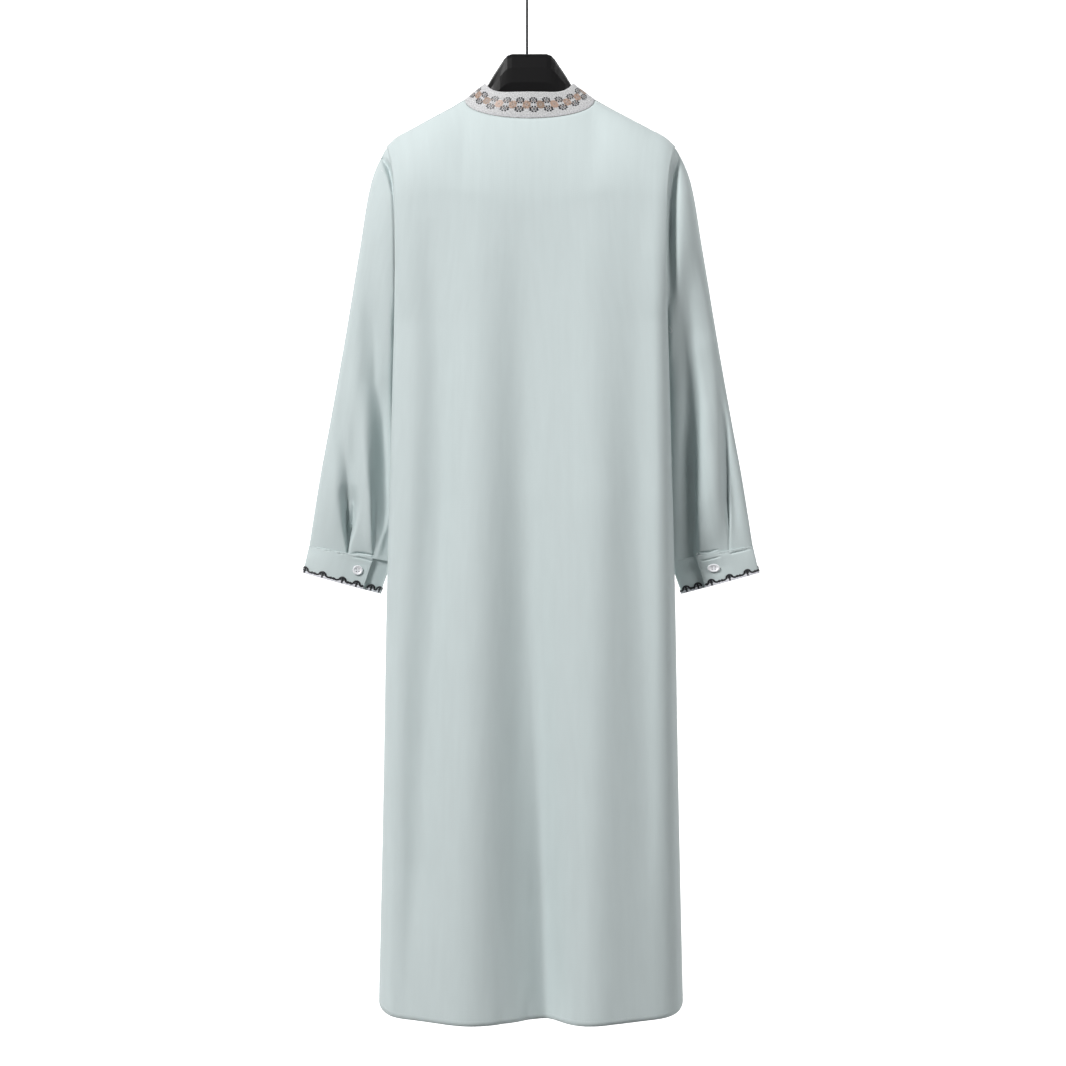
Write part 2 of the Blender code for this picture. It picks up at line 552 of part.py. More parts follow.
def build_cuff(hand, side, collection):
    """A cuff whose buttoned end laps over its other end, with the trim along its lower edge."""
    turns = np.linspace(CUFF_UNDERLAP_START, CUFF_OVERLAP_END, CUFF_COLUMNS + 1)
    gap = 2.0 * SEAM_GAP / CUFF_HEIGHT
    downs = np.array((gap, 0.45, 1.0 - TRIM_HEIGHT / CUFF_HEIGHT, 1.0))
    grid = cuff_points(hand, turns, downs)
    around = unit(np.gradient(grid, axis=1))
    down = unit(np.gradient(grid, axis=0))
    facing = unit(np.cross(around, down)) * (1.0 if hand > 0 else -1.0)
    middle_y = SLEEVE["centre_y"][-1]
    if ((grid[..., 1] - middle_y) * facing[..., 1]).sum() < 0.0:
        facing = -facing
    wall(f"{side}_cuff", grid, facing, CUFF_CLOTH, False, "robe_cloth", collection)
    lift = (CUFF_CLOTH + TRIM_CLOTH) / 2.0 + SEAM_GAP
    first = int(np.argmin(np.abs(turns - (CUFF_OVERLAP_END - 1.0)))) + 1
    trim = grid[2:, first:] + facing[2:, first:] * lift
    wall(f"{side}_cuff_trim", trim, facing[2:, first:], TRIM_CLOTH, False, "cuff_ribbon", collection)
    at = CUFF_BUTTON_PLACES[side]
    place = np.array([np.interp(at, turns, grid[1, :, axis]) for axis in range(3)])
    face = unit(np.array([np.interp(at, turns, facing[1, :, axis]) for axis in range(3)]))
    button_lift = CUFF_CLOTH / 2.0 + SEAM_GAP + BUTTON_THICKNESS / 2.0
    button(f"{side}_cuff_button", place + face * button_lift, face, collection)


def button(name, centre, facing, collection):
    """A dished four-hole button, turned from its profile and drilled."""
    rim = BUTTON_RADIUS - BUTTON_RIM
    top, dish, bottom = BUTTON_THICKNESS / 2.0, BUTTON_THICKNESS / 4.0, -BUTTON_THICKNESS / 2.0
    profile = ((0.0, dish), (rim - 0.9, dish), (rim, top), (BUTTON_RADIUS - 0.5, top), (BUTTON_RADIUS, dish),
               (BUTTON_RADIUS, bottom / 2.0), (BUTTON_RADIUS - 0.7, bottom), (0.0, bottom))
    mesh = bpy.data.meshes.new(name)
    edges = [(i, i + 1) for i in range(len(profile) - 1)]
    mesh.from_pydata([(r * MM, 0.0, z * MM) for r, z in profile], edges, [])
    thing = bpy.data.objects.new(name, mesh)
    collection.objects.link(thing)
    turned = thing.modifiers.new("turned", "SCREW")
    turned.steps = turned.render_steps = 16
    turned.use_merge_vertices = True
    turned.merge_threshold = 0.0001
    drilled = thing.modifiers.new("drilled", "BOOLEAN")
    drilled.object = drill(name + "_drill")
    drilled.operation = "DIFFERENCE"
    turn = Vector(facing.tolist()).to_track_quat("Z", "Y").to_matrix().to_4x4()
    matrix = Matrix.Translation(Vector((centre * MM).tolist())) @ turn
    thing.matrix_world = matrix
    drilled.object.matrix_world = matrix
    paint(thing, "white_button")
    return thing


def drill(name):
    """Four pins that cut a button's holes."""
    work = bmesh.new()
    for quarter in range(4):
        turn = math.radians(45.0 + 90.0 * quarter)
        place = Vector((math.cos(turn), math.sin(turn), 0.0)) * BUTTON_HOLE_PLACE * MM
        bmesh.ops.create_cone(work, cap_ends=True, segments=6, radius1=BUTTON_HOLE_RADIUS * MM,
                              radius2=BUTTON_HOLE_RADIUS * MM, depth=4.0 * BUTTON_THICKNESS * MM,
                              matrix=Matrix.Translation(place))
    return cutter(name, work)


def cutter(name, work):
    """Keeps a cutting shape out of the model."""
    mesh = bpy.data.meshes.new(name)
    work.to_mesh(mesh)
    work.free()
    thing = bpy.data.objects.new(name, mesh)
    thing.hide_render = True
    thing.display_type = "WIRE"
    bpy.data.collections["cutters"].objects.link(thing)
    return thing


def neck_shift(across):
    """How far the neck end of the shoulders hangs off the garment's centre line."""
    return GARMENT_CENTRE + NECK_SHIFT * (1.0 - np.abs(across) / SHOULDER_TIP_ACROSS)


def build_hanger(collection):
    """The hanger: a crown that fills the collar and two arms just under the shoulder seams."""
    shoulder_x, shoulder_z = top_edge(-1, np.arange(SHOULDER_COLUMNS + 1) * 2.0 / PANEL_COLUMNS)
    arm_x = np.append(shoulder_x[::-1][1:-2], HANGER_TIP_ACROSS)
    out = (arm_x - arm_x[0]) / (arm_x[-1] - arm_x[0])
    slope = (shoulder_z[-1] - shoulder_z[0]) / (shoulder_x[-1] - shoulder_x[0])
    gap = CLOTH / 2.0 + np.interp(out, HANGER_ARM["share"], HANGER_ARM["under_cloth"])
    arm_top = np.interp(arm_x, shoulder_x[::-1], shoulder_z[::-1]) - gap * math.hypot(1.0, slope)
    arm_height = np.interp(out, HANGER_ARM["share"], HANGER_ARM["height"])
    arm_depth = np.interp(out, HANGER_ARM["share"], HANGER_ARM["half_depth"])
    across = np.concatenate((HANGER["across"], arm_x))
    top = np.concatenate((HANGER["top"], arm_top))
    underside = np.concatenate((HANGER["underside"], arm_top - arm_height))
    depth = np.concatenate((HANGER["half_depth"], arm_depth))
    across = np.concatenate((-across[:0:-1], across))
    top, underside, depth = (np.concatenate((row[:0:-1], row)) for row in (top, underside, depth))
    turn = np.arange(HANGER_RING_POINTS) * 2.0 * math.pi / HANGER_RING_POINTS
    x = (across + neck_shift(across))[:, None] + 0.0 * turn
    y = depth[:, None] * np.sin(turn)
    z = ((top + underside) / 2.0)[:, None] + ((top - underside) / 2.0)[:, None] * np.cos(turn)
    vertices = np.stack((x, y, z), axis=-1).reshape(-1, 3)
    count = HANGER_RING_POINTS
    faces = [tuple(range(count)), tuple(range(len(vertices) - count, len(vertices)))]
    for ring in range(len(across) - 1):
        for corner in range(count):
            following = (corner + 1) % count
            faces.append((ring * count + corner, ring * count + following,
                          (ring + 1) * count + following, (ring + 1) * count + corner))
    thing = mesh_object("hanger_body", vertices, faces, "black_plastic", collection)
    socket = bmesh.new()
    crown = HANGER["top"][0]
    radius = (WIRE_RADIUS + WIRE_SOCKET_CLEARANCE) * MM
    bmesh.ops.create_cone(socket, cap_ends=True, segments=12, radius1=radius, radius2=radius,
                          depth=2.0 * WIRE_SOCKET_DEPTH * MM,
                          matrix=Matrix.Translation((0.0, 0.0, crown * MM)))
    drilled = thing.modifiers.new("wire_socket", "BOOLEAN")
    drilled.object = cutter("wire_socket", socket)
    drilled.operation = "DIFFERENCE"
    build_hook(crown - WIRE_SOCKET_DEPTH + WIRE_SOCKET_CLEARANCE, collection)


def build_hook(foot, collection):
    """The wire: a straight stem that bends aside and then round over the rail."""
    centre = WIRE_RADIUS - HOOK_RADIUS
    turns = np.radians(np.linspace(HOOK_TIP_ANGLE, HOOK_LEAVE_ANGLE, 22))
    route = [(HOOK_RADIUS * math.cos(turn), centre + HOOK_RADIUS * math.sin(turn)) for turn in turns]
    leave = math.radians(-HOOK_LEAVE_ANGLE)
    bend = HOOK_RADIUS * math.cos(leave) / (1.0 - math.cos(leave))
    low = route[-1][1] - bend * math.sin(leave)
    for turn in np.linspace(leave, 0.0, 6)[1:]:
        route.append((bend * (1.0 - math.cos(turn)), low + bend * math.sin(turn)))
    route.append((0.0, foot))
    curve = bpy.data.curves.new("hanger_hook", "CURVE")
    curve.dimensions = "3D"
    curve.bevel_depth = WIRE_RADIUS * MM
    curve.bevel_resolution = 2
    curve.use_fill_caps = True
    line = curve.splines.new("POLY")
    line.points.add(len(route) - 1)
    for point, (x, z) in zip(line.points, route):
        point.co = (x * MM, 0.0, z * MM, 1.0)
    thing = bpy.data.objects.new("hanger_hook", curve)
    collection.objects.link(thing)
    paint(thing, "black_wire")


def main():
    for thing in list(bpy.data.objects):
        bpy.data.objects.remove(thing, do_unlink=True)
    parts = bpy.data.collections.new("loose_robe")
    cutters = bpy.data.collections.new("cutters")
    for collection in (parts, cutters):
        bpy.context.scene.collection.children.link(collection)
    points, normals = build_body(parts)
    for hand, side in ((-1, "left"), (1, "right")):
        build_sleeve(hand, side, points, normals, parts)
    build_hanger(parts)


main()
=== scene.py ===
# %% [markdown]
# # A loose robe on its hanger
# This lesson dresses the plain solids of a hung robe: fine cloth with its folds, an embroidered collar
# ribbon, buttoned cuffs with a stitched trim, and the black hanger that fills the neck. All sizes below are
# in millimetres and are turned into metres when a mesh is made. The camera looks at the garment's back.

# %% Load the frame
import math
import random

import bpy
import numpy as np
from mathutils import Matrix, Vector


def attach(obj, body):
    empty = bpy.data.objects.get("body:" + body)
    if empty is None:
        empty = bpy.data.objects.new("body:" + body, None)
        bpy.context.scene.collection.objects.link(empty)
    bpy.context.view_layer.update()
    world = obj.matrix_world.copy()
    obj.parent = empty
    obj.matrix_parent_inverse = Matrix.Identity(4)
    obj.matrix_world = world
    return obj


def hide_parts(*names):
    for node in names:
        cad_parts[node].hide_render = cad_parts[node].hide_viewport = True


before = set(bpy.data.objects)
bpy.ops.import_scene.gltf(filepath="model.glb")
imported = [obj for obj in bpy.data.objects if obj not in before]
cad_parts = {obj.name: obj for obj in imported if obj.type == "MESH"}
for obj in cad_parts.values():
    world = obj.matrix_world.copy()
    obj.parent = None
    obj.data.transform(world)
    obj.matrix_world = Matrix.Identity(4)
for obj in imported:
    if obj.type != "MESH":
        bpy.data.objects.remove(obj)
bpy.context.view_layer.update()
MM = 0.001

# %% [markdown]
# ## The camera
# The photograph was taken level, from far back, with a long lens. A lens that sees 1.6 m of the garment's
# plane from 3.3 m away gives the same flat look. The camera stands at the middle of the picture.

# %% Camera
CAMERA_PLACE = (9.0, -3300.0, -863.5)
PICTURE_WIDTH = 1599.0

camera_data = bpy.data.cameras.new("camera")
camera_data.sensor_width = 36.0
camera_data.lens = 36.0 * -CAMERA_PLACE[1] / PICTURE_WIDTH
camera = bpy.data.objects.new("camera", camera_data)
camera.location = Vector(CAMERA_PLACE) * MM
camera.rotation_euler = (math.pi / 2.0, 0.0, 0.0)
bpy.context.scene.collection.objects.link(camera)
bpy.context.scene.camera = camera
print("Lens of", round(camera_data.lens, 1), "mm")

# %% [markdown]
# ## The studio
# A pale floor that curves up into a wall is called a sweep. It has no corner that could show as a line. The
# picture's background is an even white, and lamps alone would leave the wall patchy. So the wall also glows
# a little, and the glow sets in just above the floor.

# %% Floor and backdrop
FLOOR_Z, FLOOR_FRONT, GLOW_RISE = -2500.0, -600.0, 60.0
SWEEP_START, SWEEP_RADIUS, SWEEP_STEPS = 2650.0, 1400.0, 24
WALL_HEIGHT, WALL_HALF_WIDTH = 9000.0, 12000.0
WALL_GLOW = 0.70


def new_material(name):
    """A material, its node tree and its main shader."""
    material = bpy.data.materials.new(name)
    material.use_nodes = True
    return material, material.node_tree, material.node_tree.nodes["Principled BSDF"]


def pale_surface(name, colour, glow):
    """A matt white. The wall gives back a little light of its own, as an evenly lit studio wall does."""
    material, tree, shader = new_material(name)
    shader.inputs["Base Color"].default_value = (*colour, 1.0)
    shader.inputs["Roughness"].default_value = 0.9
    shader.inputs["Emission Color"].default_value = (1.0, 1.0, 1.0, 1.0)
    place = tree.nodes.new("ShaderNodeTexCoord")
    height = tree.nodes.new("ShaderNodeSeparateXYZ")
    rising = tree.nodes.new("ShaderNodeMapRange")
    limits = {"From Min": FLOOR_Z * MM, "From Max": (FLOOR_Z + GLOW_RISE) * MM, "To Max": glow}
    for socket, value in limits.items():
        rising.inputs[socket].default_value = value
    tree.links.new(place.outputs["Object"], height.inputs["Vector"])
    tree.links.new(height.outputs["Z"], rising.inputs["Value"])
    tree.links.new(rising.outputs["Result"], shader.inputs["Emission Strength"])
    return material


profile = [(FLOOR_FRONT, 0.0), (SWEEP_START, 0.0)]
for step in range(1, SWEEP_STEPS + 1):
    turn = step / SWEEP_STEPS * math.pi / 2.0
    profile.append((SWEEP_START + SWEEP_RADIUS * math.sin(turn), SWEEP_RADIUS * (1.0 - math.cos(turn))))
profile.append((SWEEP_START + SWEEP_RADIUS, WALL_HEIGHT))
sweep_mesh = bpy.data.meshes.new("sweep")
sweep_mesh.from_pydata(
    [(x * MM, y * MM, (FLOOR_Z + z) * MM) for y, z in profile for x in (-WALL_HALF_WIDTH, WALL_HALF_WIDTH)], [],
    [(2 * i, 2 * i + 1, 2 * i + 3, 2 * i + 2) for i in range(len(profile) - 1)])
sweep_mesh.shade_smooth()
sweep = bpy.data.objects.new("sweep", sweep_mesh)
bpy.context.scene.collection.objects.link(sweep)
sweep_mesh.materials.append(pale_surface("sweep_white", (0.9, 0.9, 0.9), WALL_GLOW))
print("Floor at", FLOOR_Z, "mm")

# %% [markdown]
# ## The lamps
# The folds show by their shade alone, so the light comes mostly from one side. The key lamp stands to the
# left and is large, which keeps its shadows soft. A weak lamp on the right fills the shade, and one behind
# parts the shoulders from the wall. Powers are in watts and places in metres.

# %% Lights
ROBE_MIDDLE = Vector((0.006, 0.0, -0.80))


def soft_light(name, place, size, power, colour=(1.0, 1.0, 1.0)):
    """A rectangular studio light that faces the robe."""
    data = bpy.data.lights.new(name, "AREA")
    data.shape = "RECTANGLE"
    data.size, data.size_y = size
    data.energy = power
    data.color = colour
    lamp = bpy.data.objects.new(name, data)
    lamp.location = Vector(place)
    lamp.rotation_euler = (ROBE_MIDDLE - lamp.location).to_track_quat("-Z", "Y").to_euler()
    bpy.context.scene.collection.objects.link(lamp)
    return lamp


soft_light("key", (-3.5, -4.35, 2.9), (1.1, 1.6), 436.0)
soft_light("fill", (3.5, -2.5, 2.0), (1.6, 2.0), 88.0)
soft_light("behind", (-1.5, 2.0, 0.9), (2.0, 2.0), 8.0)
world = bpy.data.worlds.new("studio")
world.use_nodes = True
world.node_tree.nodes["Background"].inputs["Color"].default_value = (0.96, 0.98, 1.0, 1.0)
world.node_tree.nodes["Background"].inputs["Strength"].default_value = 0.11
bpy.context.scene.world = world
bpy.context.scene.view_settings.view_transform = "Standard"

# %% [markdown]
# ## Reading the cutting tables
# A robe is drawn from a few measured levels. A smooth curve through them gives every size between, and the
# curve keeps the slope of its neighbours, so that the cloth has no corner at a measured level.

# %% Curves through tables
def read(table, column, key, at):
    """Reads a table's column at any place along its key, on a smooth curve through the rows."""
    places = np.array(table[key], float)
    values = np.array(table[column], float)
    if places[0] > places[-1]:
        places, values = places[::-1], values[::-1]
    slopes = np.gradient(values, places)
    at = np.clip(np.asarray(at, float), places[0], places[-1])
    row = np.clip(np.searchsorted(places, at, side="right") - 1, 0, len(places) - 2)
    span = places[row + 1] - places[row]
    t = (at - places[row]) / span
    start = (2 * t**3 - 3 * t**2 + 1) * values[row] + (t**3 - 2 * t**2 + t) * span * slopes[row]
    end = (3 * t**2 - 2 * t**3) * values[row + 1] + (t**3 - t**2) * span * slopes[row + 1]
    return start + end


def ease(t):
    """Goes from 0 to 1 with no corner at either end."""
    t = np.clip(t, 0.0, 1.0)
    return t * t * (3.0 - 2.0 * t)


def unit(vectors):
    """Vectors of length 1."""
    return vectors / np.maximum(np.linalg.norm(vectors, axis=-1, keepdims=True), 1e-12)


def grid_normals(points, closed=False):
    """The direction that faces out of the cloth at each point of its grid."""
    along_rows = np.gradient(points, axis=0)
    if closed:
        along_columns = (np.roll(points, -1, axis=1) - np.roll(points, 1, axis=1)) / 2.0
    else:
        along_columns = np.gradient(points, axis=1)
    normals = unit(np.cross(along_columns, along_rows))
    level = (points - points.mean(axis=1, keepdims=True)) * np.array((1.0, 1.0, 0.0))
    return normals if (normals * level).sum() > 0.0 else -normals


print("Halfway between 0 and 1, the soft step reads", float(ease(0.5)))

# %% [markdown]
# ## Creases
# A crease is a soft ridge or trough along a line. Each point of a line says how far the cloth stands out
# there and how quickly it falls away on the left and on the right. A narrow side next to a wide one makes
# the crisp edge of a pleat, two wide sides make a fold that gravity drew.

# %% Creases placed by hand
def crease(across, z, line):
    """How far the cloth stands out near a line of (across, z, rise, left width, right width)."""
    nearest = np.full(np.shape(across), 1.0e9)
    out = np.zeros(np.shape(across))
    for start, end in zip(line[:-1], line[1:]):
        run, fall = end[0] - start[0], end[1] - start[1]
        length = math.hypot(run, fall)
        t = np.clip(((across - start[0]) * run + (z - start[1]) * fall) / length**2, 0.0, 1.0)
        away_across = across - start[0] - run * t
        away_z = z - start[1] - fall * t
        distance = np.hypot(away_across, away_z)
        right = (run * away_z - fall * away_across) > 0.0
        rise = start[2] + (end[2] - start[2]) * t
        left_width = start[3] + (end[3] - start[3]) * t
        right_width = start[4] + (end[4] - start[4]) * t
        width = np.where(right, right_width, left_width)
        here = rise * np.exp(-((distance / width) ** 2))
        closer = distance < nearest
        nearest = np.where(closer, distance, nearest)
        out = np.where(closer, here, out)
    return out


def creases(across, z, lines):
    """All of a piece's creases together."""
    return sum(crease(across, z, line) for line in lines)


one_crease = ((0.0, 0.0, 4.0, 9.0, 9.0), (0.0, -9.0, 4.0, 9.0, 9.0))
print("A crease of 4 mm, 9 mm off its line, stands", round(float(crease(9.0, -5.0, one_crease)), 2), "mm")

# %% [markdown]
# ## The body's cut
# The back is one piece from hem to neck, with no yoke and no centre seam. The front has the same levels.
# Each level says how wide the body hangs there, where its side seams lie, how deep it is and how square.

# %% Body sizes
GARMENT_CENTRE = 6.0
NECK_SHIFT = -3.0
CLOTH = 1.6
SEAM_GAP = 0.3
UNDERARM_Z = -551.0
SHOULDER_TIP_ACROSS, SHOULDER_TIP_Z = 216.0, -284.0
NECK_POINT_ACROSS, NECK_POINT_Z = 97.0, -214.0
NECK_HALF, NECK_SPREAD = 0.5, 0.6
NECK_DROP, NECK_SCOOP = {-1: 35.0, 1: 62.0}, {-1: 0.88, 1: 1.2}
HEM_Z, HEM_DIP, HEM_CORNER, HEM_CORNER_REACH = -1573.0, 5.0, 15.0, 0.17
BODY = {
    "z":            (-284.0, -551.0, -739.0, -964.0, -1264.0, -1573.0),
    "half_width":   (198.0, 203.0, 208.0, 214.0, 219.5, 226.5),
    "seam_y":       (-24.0, -20.0, -16.0, -10.0, -4.0, 0.0),
    "back_depth":   (60.0, 68.0, 76.0, 86.0, 97.0, 106.0),
    "front_depth":  (54.0, 62.0, 70.0, 80.0, 92.0, 102.0),
    "back_square":  (4.6, 4.4, 4.2, 3.8, 3.4, 3.0),
    "front_square": (2.6, 2.5, 2.5, 2.4, 2.3, 2.3),
}
ARMHOLE = {
    "z":          (-551.0, -510.0, -457.0, -400.0, -347.0, -315.0, -295.0, -284.0),
    "half_width": (203.0, 201.5, 200.5, 201.0, 203.0, 207.5, 212.5, 216.0),
    "back_y":     (-20.0, -36.0, -45.0, -47.0, -42.0, -30.0, -16.0, 0.0),
    "front_y":    (-20.0, 6.0, 30.0, 41.0, 40.0, 30.0, 16.0, 0.0),
}
SHOULDER = {
    "across": (0.0, 40.0, 75.0, 97.0, 118.5, 141.0, 180.0, 202.5, 216.0),
    "z":      (-202.0, -203.5, -207.5, -214.0, -226.0, -238.0, -259.0, -271.5, -284.0),
    "roll":   (172.0, 170.0, 160.0, 150.0, 136.0, 126.0, 113.0, 107.0, 104.0),
    "round":  (1.80, 1.75, 1.60, 1.50, 1.70, 1.90, 2.00, 2.00, 2.00),
}
SEAM_ROLL, SEAM_ROLL_WIDTH = 1.8, 2.6
FOLD_LEVELS = (-300.0, -454.0, -814.0, -1174.0, -1573.0)
BACK_FOLDS = (
    # across at each level                    width  rise at each level
    ((-188.0, -187.0, -176.0, -196.0, -204.0), 20.0, (0.0, 1.6, 3.6, 1.5, 0.0)),
    ((-80.0, -76.0, -70.0, -80.0, -92.0), 44.0, (0.0, 2.6, 5.6, 7.5, 9.0)),
    ((0.0, 0.0, -3.0, 14.0, 24.0), 26.0, (0.0, -1.0, -1.8, -3.0, -5.0)),
    ((92.0, 92.0, 90.0, 94.0, 98.0), 34.0, (0.0, 2.4, 5.0, 5.0, 5.5)),
    ((190.0, 190.0, 190.0, 196.0, 200.0), 18.0, (0.0, 2.2, 4.0, 2.0, 1.0)),
)
FRONT_FOLDS = (
    ((-105.0, -110.0, -120.0, -126.0, -130.0), 36.0, (0.0, 2.0, 4.5, 6.5, 8.0)),
    ((-40.0, -44.0, -50.0, -58.0, -66.0), 26.0, (0.0, 0.0, -1.6, -3.0, -4.0)),
    ((60.0, 66.0, 74.0, 70.0, 64.0), 38.0, (0.0, 0.0, 3.0, 6.0, 8.0)),
    ((150.0, 154.0, 160.0, 164.0, 168.0), 26.0, (0.0, 1.6, 3.2, 4.0, 4.5)),
)
print("From shoulder tip to hem:", BODY["z"][0] - BODY["z"][-1], "mm, in", len(BODY["z"]), "levels")

# %% [markdown]
# ## The body's own creases
# On the hanger the cloth falls in a few long, uneven folds. Cloth can be draped by simulation, but then
# each fold lands where it likes. These were placed one by one instead, one line for each fold of the real
# robe, and the front has two quiet ones of the same kind.

# %% Creases of the back and the front
BACK_CREASES = (
    # left rim's inner valley
    ((-150.0, -400.0, 0.0, 16.0, 18.0), (-148.0, -454.0, -3.0, 16.0, 20.0),
     (-136.0, -620.0, -9.0, 22.0, 20.0), (-135.0, -814.0, -14.0, 30.0, 20.0),
     (-146.0, -994.0, -15.0, 34.0, 22.0), (-158.0, -1174.0, -16.0, 32.0, 24.0),
     (-168.0, -1354.0, -14.0, 28.0, 26.0), (-178.0, -1474.0, -8.0, 20.0, 26.0),
     (-182.0, -1573.0, -3.0, 18.0, 26.0)),
    # the left rim rolls out towards the hem
    ((-192.0, -900.0, 0.0, 10.0, 20.0), (-196.0, -1174.0, 5.0, 10.0, 22.0),
     (-202.0, -1400.0, 8.0, 10.0, 26.0), (-206.0, -1573.0, 8.0, 10.0, 34.0)),
    # the long ridge left of the middle
    ((-76.0, -330.0, 0.0, 30.0, 30.0), (-76.0, -454.0, 3.0, 30.0, 40.0),
     (-82.0, -814.0, 8.0, 30.0, 44.0), (-92.0, -1174.0, 9.0, 34.0, 56.0),
     (-100.0, -1573.0, 9.0, 46.0, 66.0)),
    # the valley down the middle
    ((-20.0, -380.0, 0.0, 26.0, 26.0), (-18.0, -574.0, -5.0, 28.0, 34.0),
     (-13.0, -814.0, -11.0, 34.0, 34.0), (2.0, -1174.0, -27.0, 46.0, 28.0),
     (15.0, -1400.0, -38.0, 54.0, 26.0), (21.0, -1580.0, -41.0, 54.0, 27.0)),
    # the long ridge right of the middle
    ((84.0, -380.0, 0.0, 30.0, 40.0), (92.0, -574.0, 4.0, 44.0, 40.0),
     (104.0, -814.0, 10.0, 54.0, 34.0), (94.0, -1174.0, 11.0, 46.0, 46.0),
     (86.0, -1573.0, 12.0, 34.0, 64.0)),
    # the valley beside the right rim, and the rim
    ((150.0, -420.0, 0.0, 16.0, 16.0), (152.0, -814.0, -2.5, 26.0, 18.0),
     (162.0, -1060.0, -2.5, 24.0, 18.0), (170.0, -1300.0, -2.0, 24.0, 16.0),
     (172.0, -1400.0, 0.0, 24.0, 16.0)),
    ((196.0, -330.0, 0.0, 22.0, 5.0), (197.0, -454.0, 6.0, 28.0, 5.0), (201.0, -814.0, 9.0, 26.0, 5.0),
     (207.0, -1174.0, 9.0, 30.0, 6.0), (216.0, -1573.0, 7.0, 34.0, 7.0)),
    # small puckers along the hem
    ((-42.0, -1579.0, -2.0, 8.0, 6.0), (-44.0, -1540.0, 0.0, 10.0, 8.0)),
    ((-6.0, -1579.0, -2.5, 6.0, 5.0), (-4.0, -1536.0, 0.0, 10.0, 8.0)),
    ((118.0, -1579.0, -1.5, 10.0, 8.0), (116.0, -1530.0, 0.0, 12.0, 10.0)),
)
FRONT_CREASES = (
    ((-20.0, -700.0, 0.0, 24.0, 24.0), (-8.0, -1100.0, -2.4, 22.0, 18.0),
     (4.0, -1573.0, -3.0, 24.0, 20.0)),
    ((108.0, -560.0, 0.0, 16.0, 20.0), (116.0, -900.0, -1.8, 18.0, 16.0),
     (120.0, -1400.0, 0.0, 18.0, 18.0)),
)
print(len(BACK_CREASES), "creases on the back,", len(FRONT_CREASES), "on the front")

# %% [markdown]
# ## The body's surface
# A panel is a surface that bulges from its two side seams. Below the underarm its columns run straight up.
# Above it they fan out to the sloping shoulder and the neck's curve, as the grain of a worn panel seems to
# do. One function gives any point of it, so that the stitches and the placket can use the very same
# surface.

# %% The body's surface
def top_edge(side, half):
    """A panel's upper edge, across and up. half is 0 at the shoulder tip and 1 at the centre of the neck."""
    on_shoulder = np.clip(half / NECK_HALF, 0.0, 1.0)
    across = SHOULDER_TIP_ACROSS + (NECK_POINT_ACROSS - SHOULDER_TIP_ACROSS) * on_shoulder
    z = read(SHOULDER, "z", "across", across)
    turn = np.clip((half - NECK_HALF) / (1.0 - NECK_HALF), 0.0, 1.0) ** NECK_SPREAD * math.pi / 2.0
    at_neck = half > NECK_HALF
    across = np.where(at_neck, NECK_POINT_ACROSS * np.cos(turn), across)
    z = np.where(at_neck, NECK_POINT_Z - NECK_DROP[side] * np.sin(turn) ** NECK_SCOOP[side], z)
    return across, z


def even_spread(width, depth, square, half):
    """Where across a section its columns lie, evenly spaced along the cloth. Returns 1 at the seam."""
    turn = np.linspace(0.0, math.pi / 2.0, 400)
    x = np.cos(turn) ** (2.0 / square)
    y = np.sin(turn) ** (2.0 / square)
    length = np.concatenate(([0.0], np.cumsum(np.hypot(np.diff(x * width), np.diff(y * depth)))))
    return np.interp(half * length[-1], length, x)


def folds(table, across, z):
    """How far the long upright folds stand out at a place on a panel."""
    out = np.zeros(np.shape(across))
    levels = np.array(FOLD_LEVELS[::-1])
    for line, width, rise in table:
        centre = np.interp(z, levels, np.array(line[::-1]))
        height = np.interp(z, levels, np.array(rise[::-1]))
        out = out + height * np.exp(-(((across - centre) / width) ** 2))
    return out


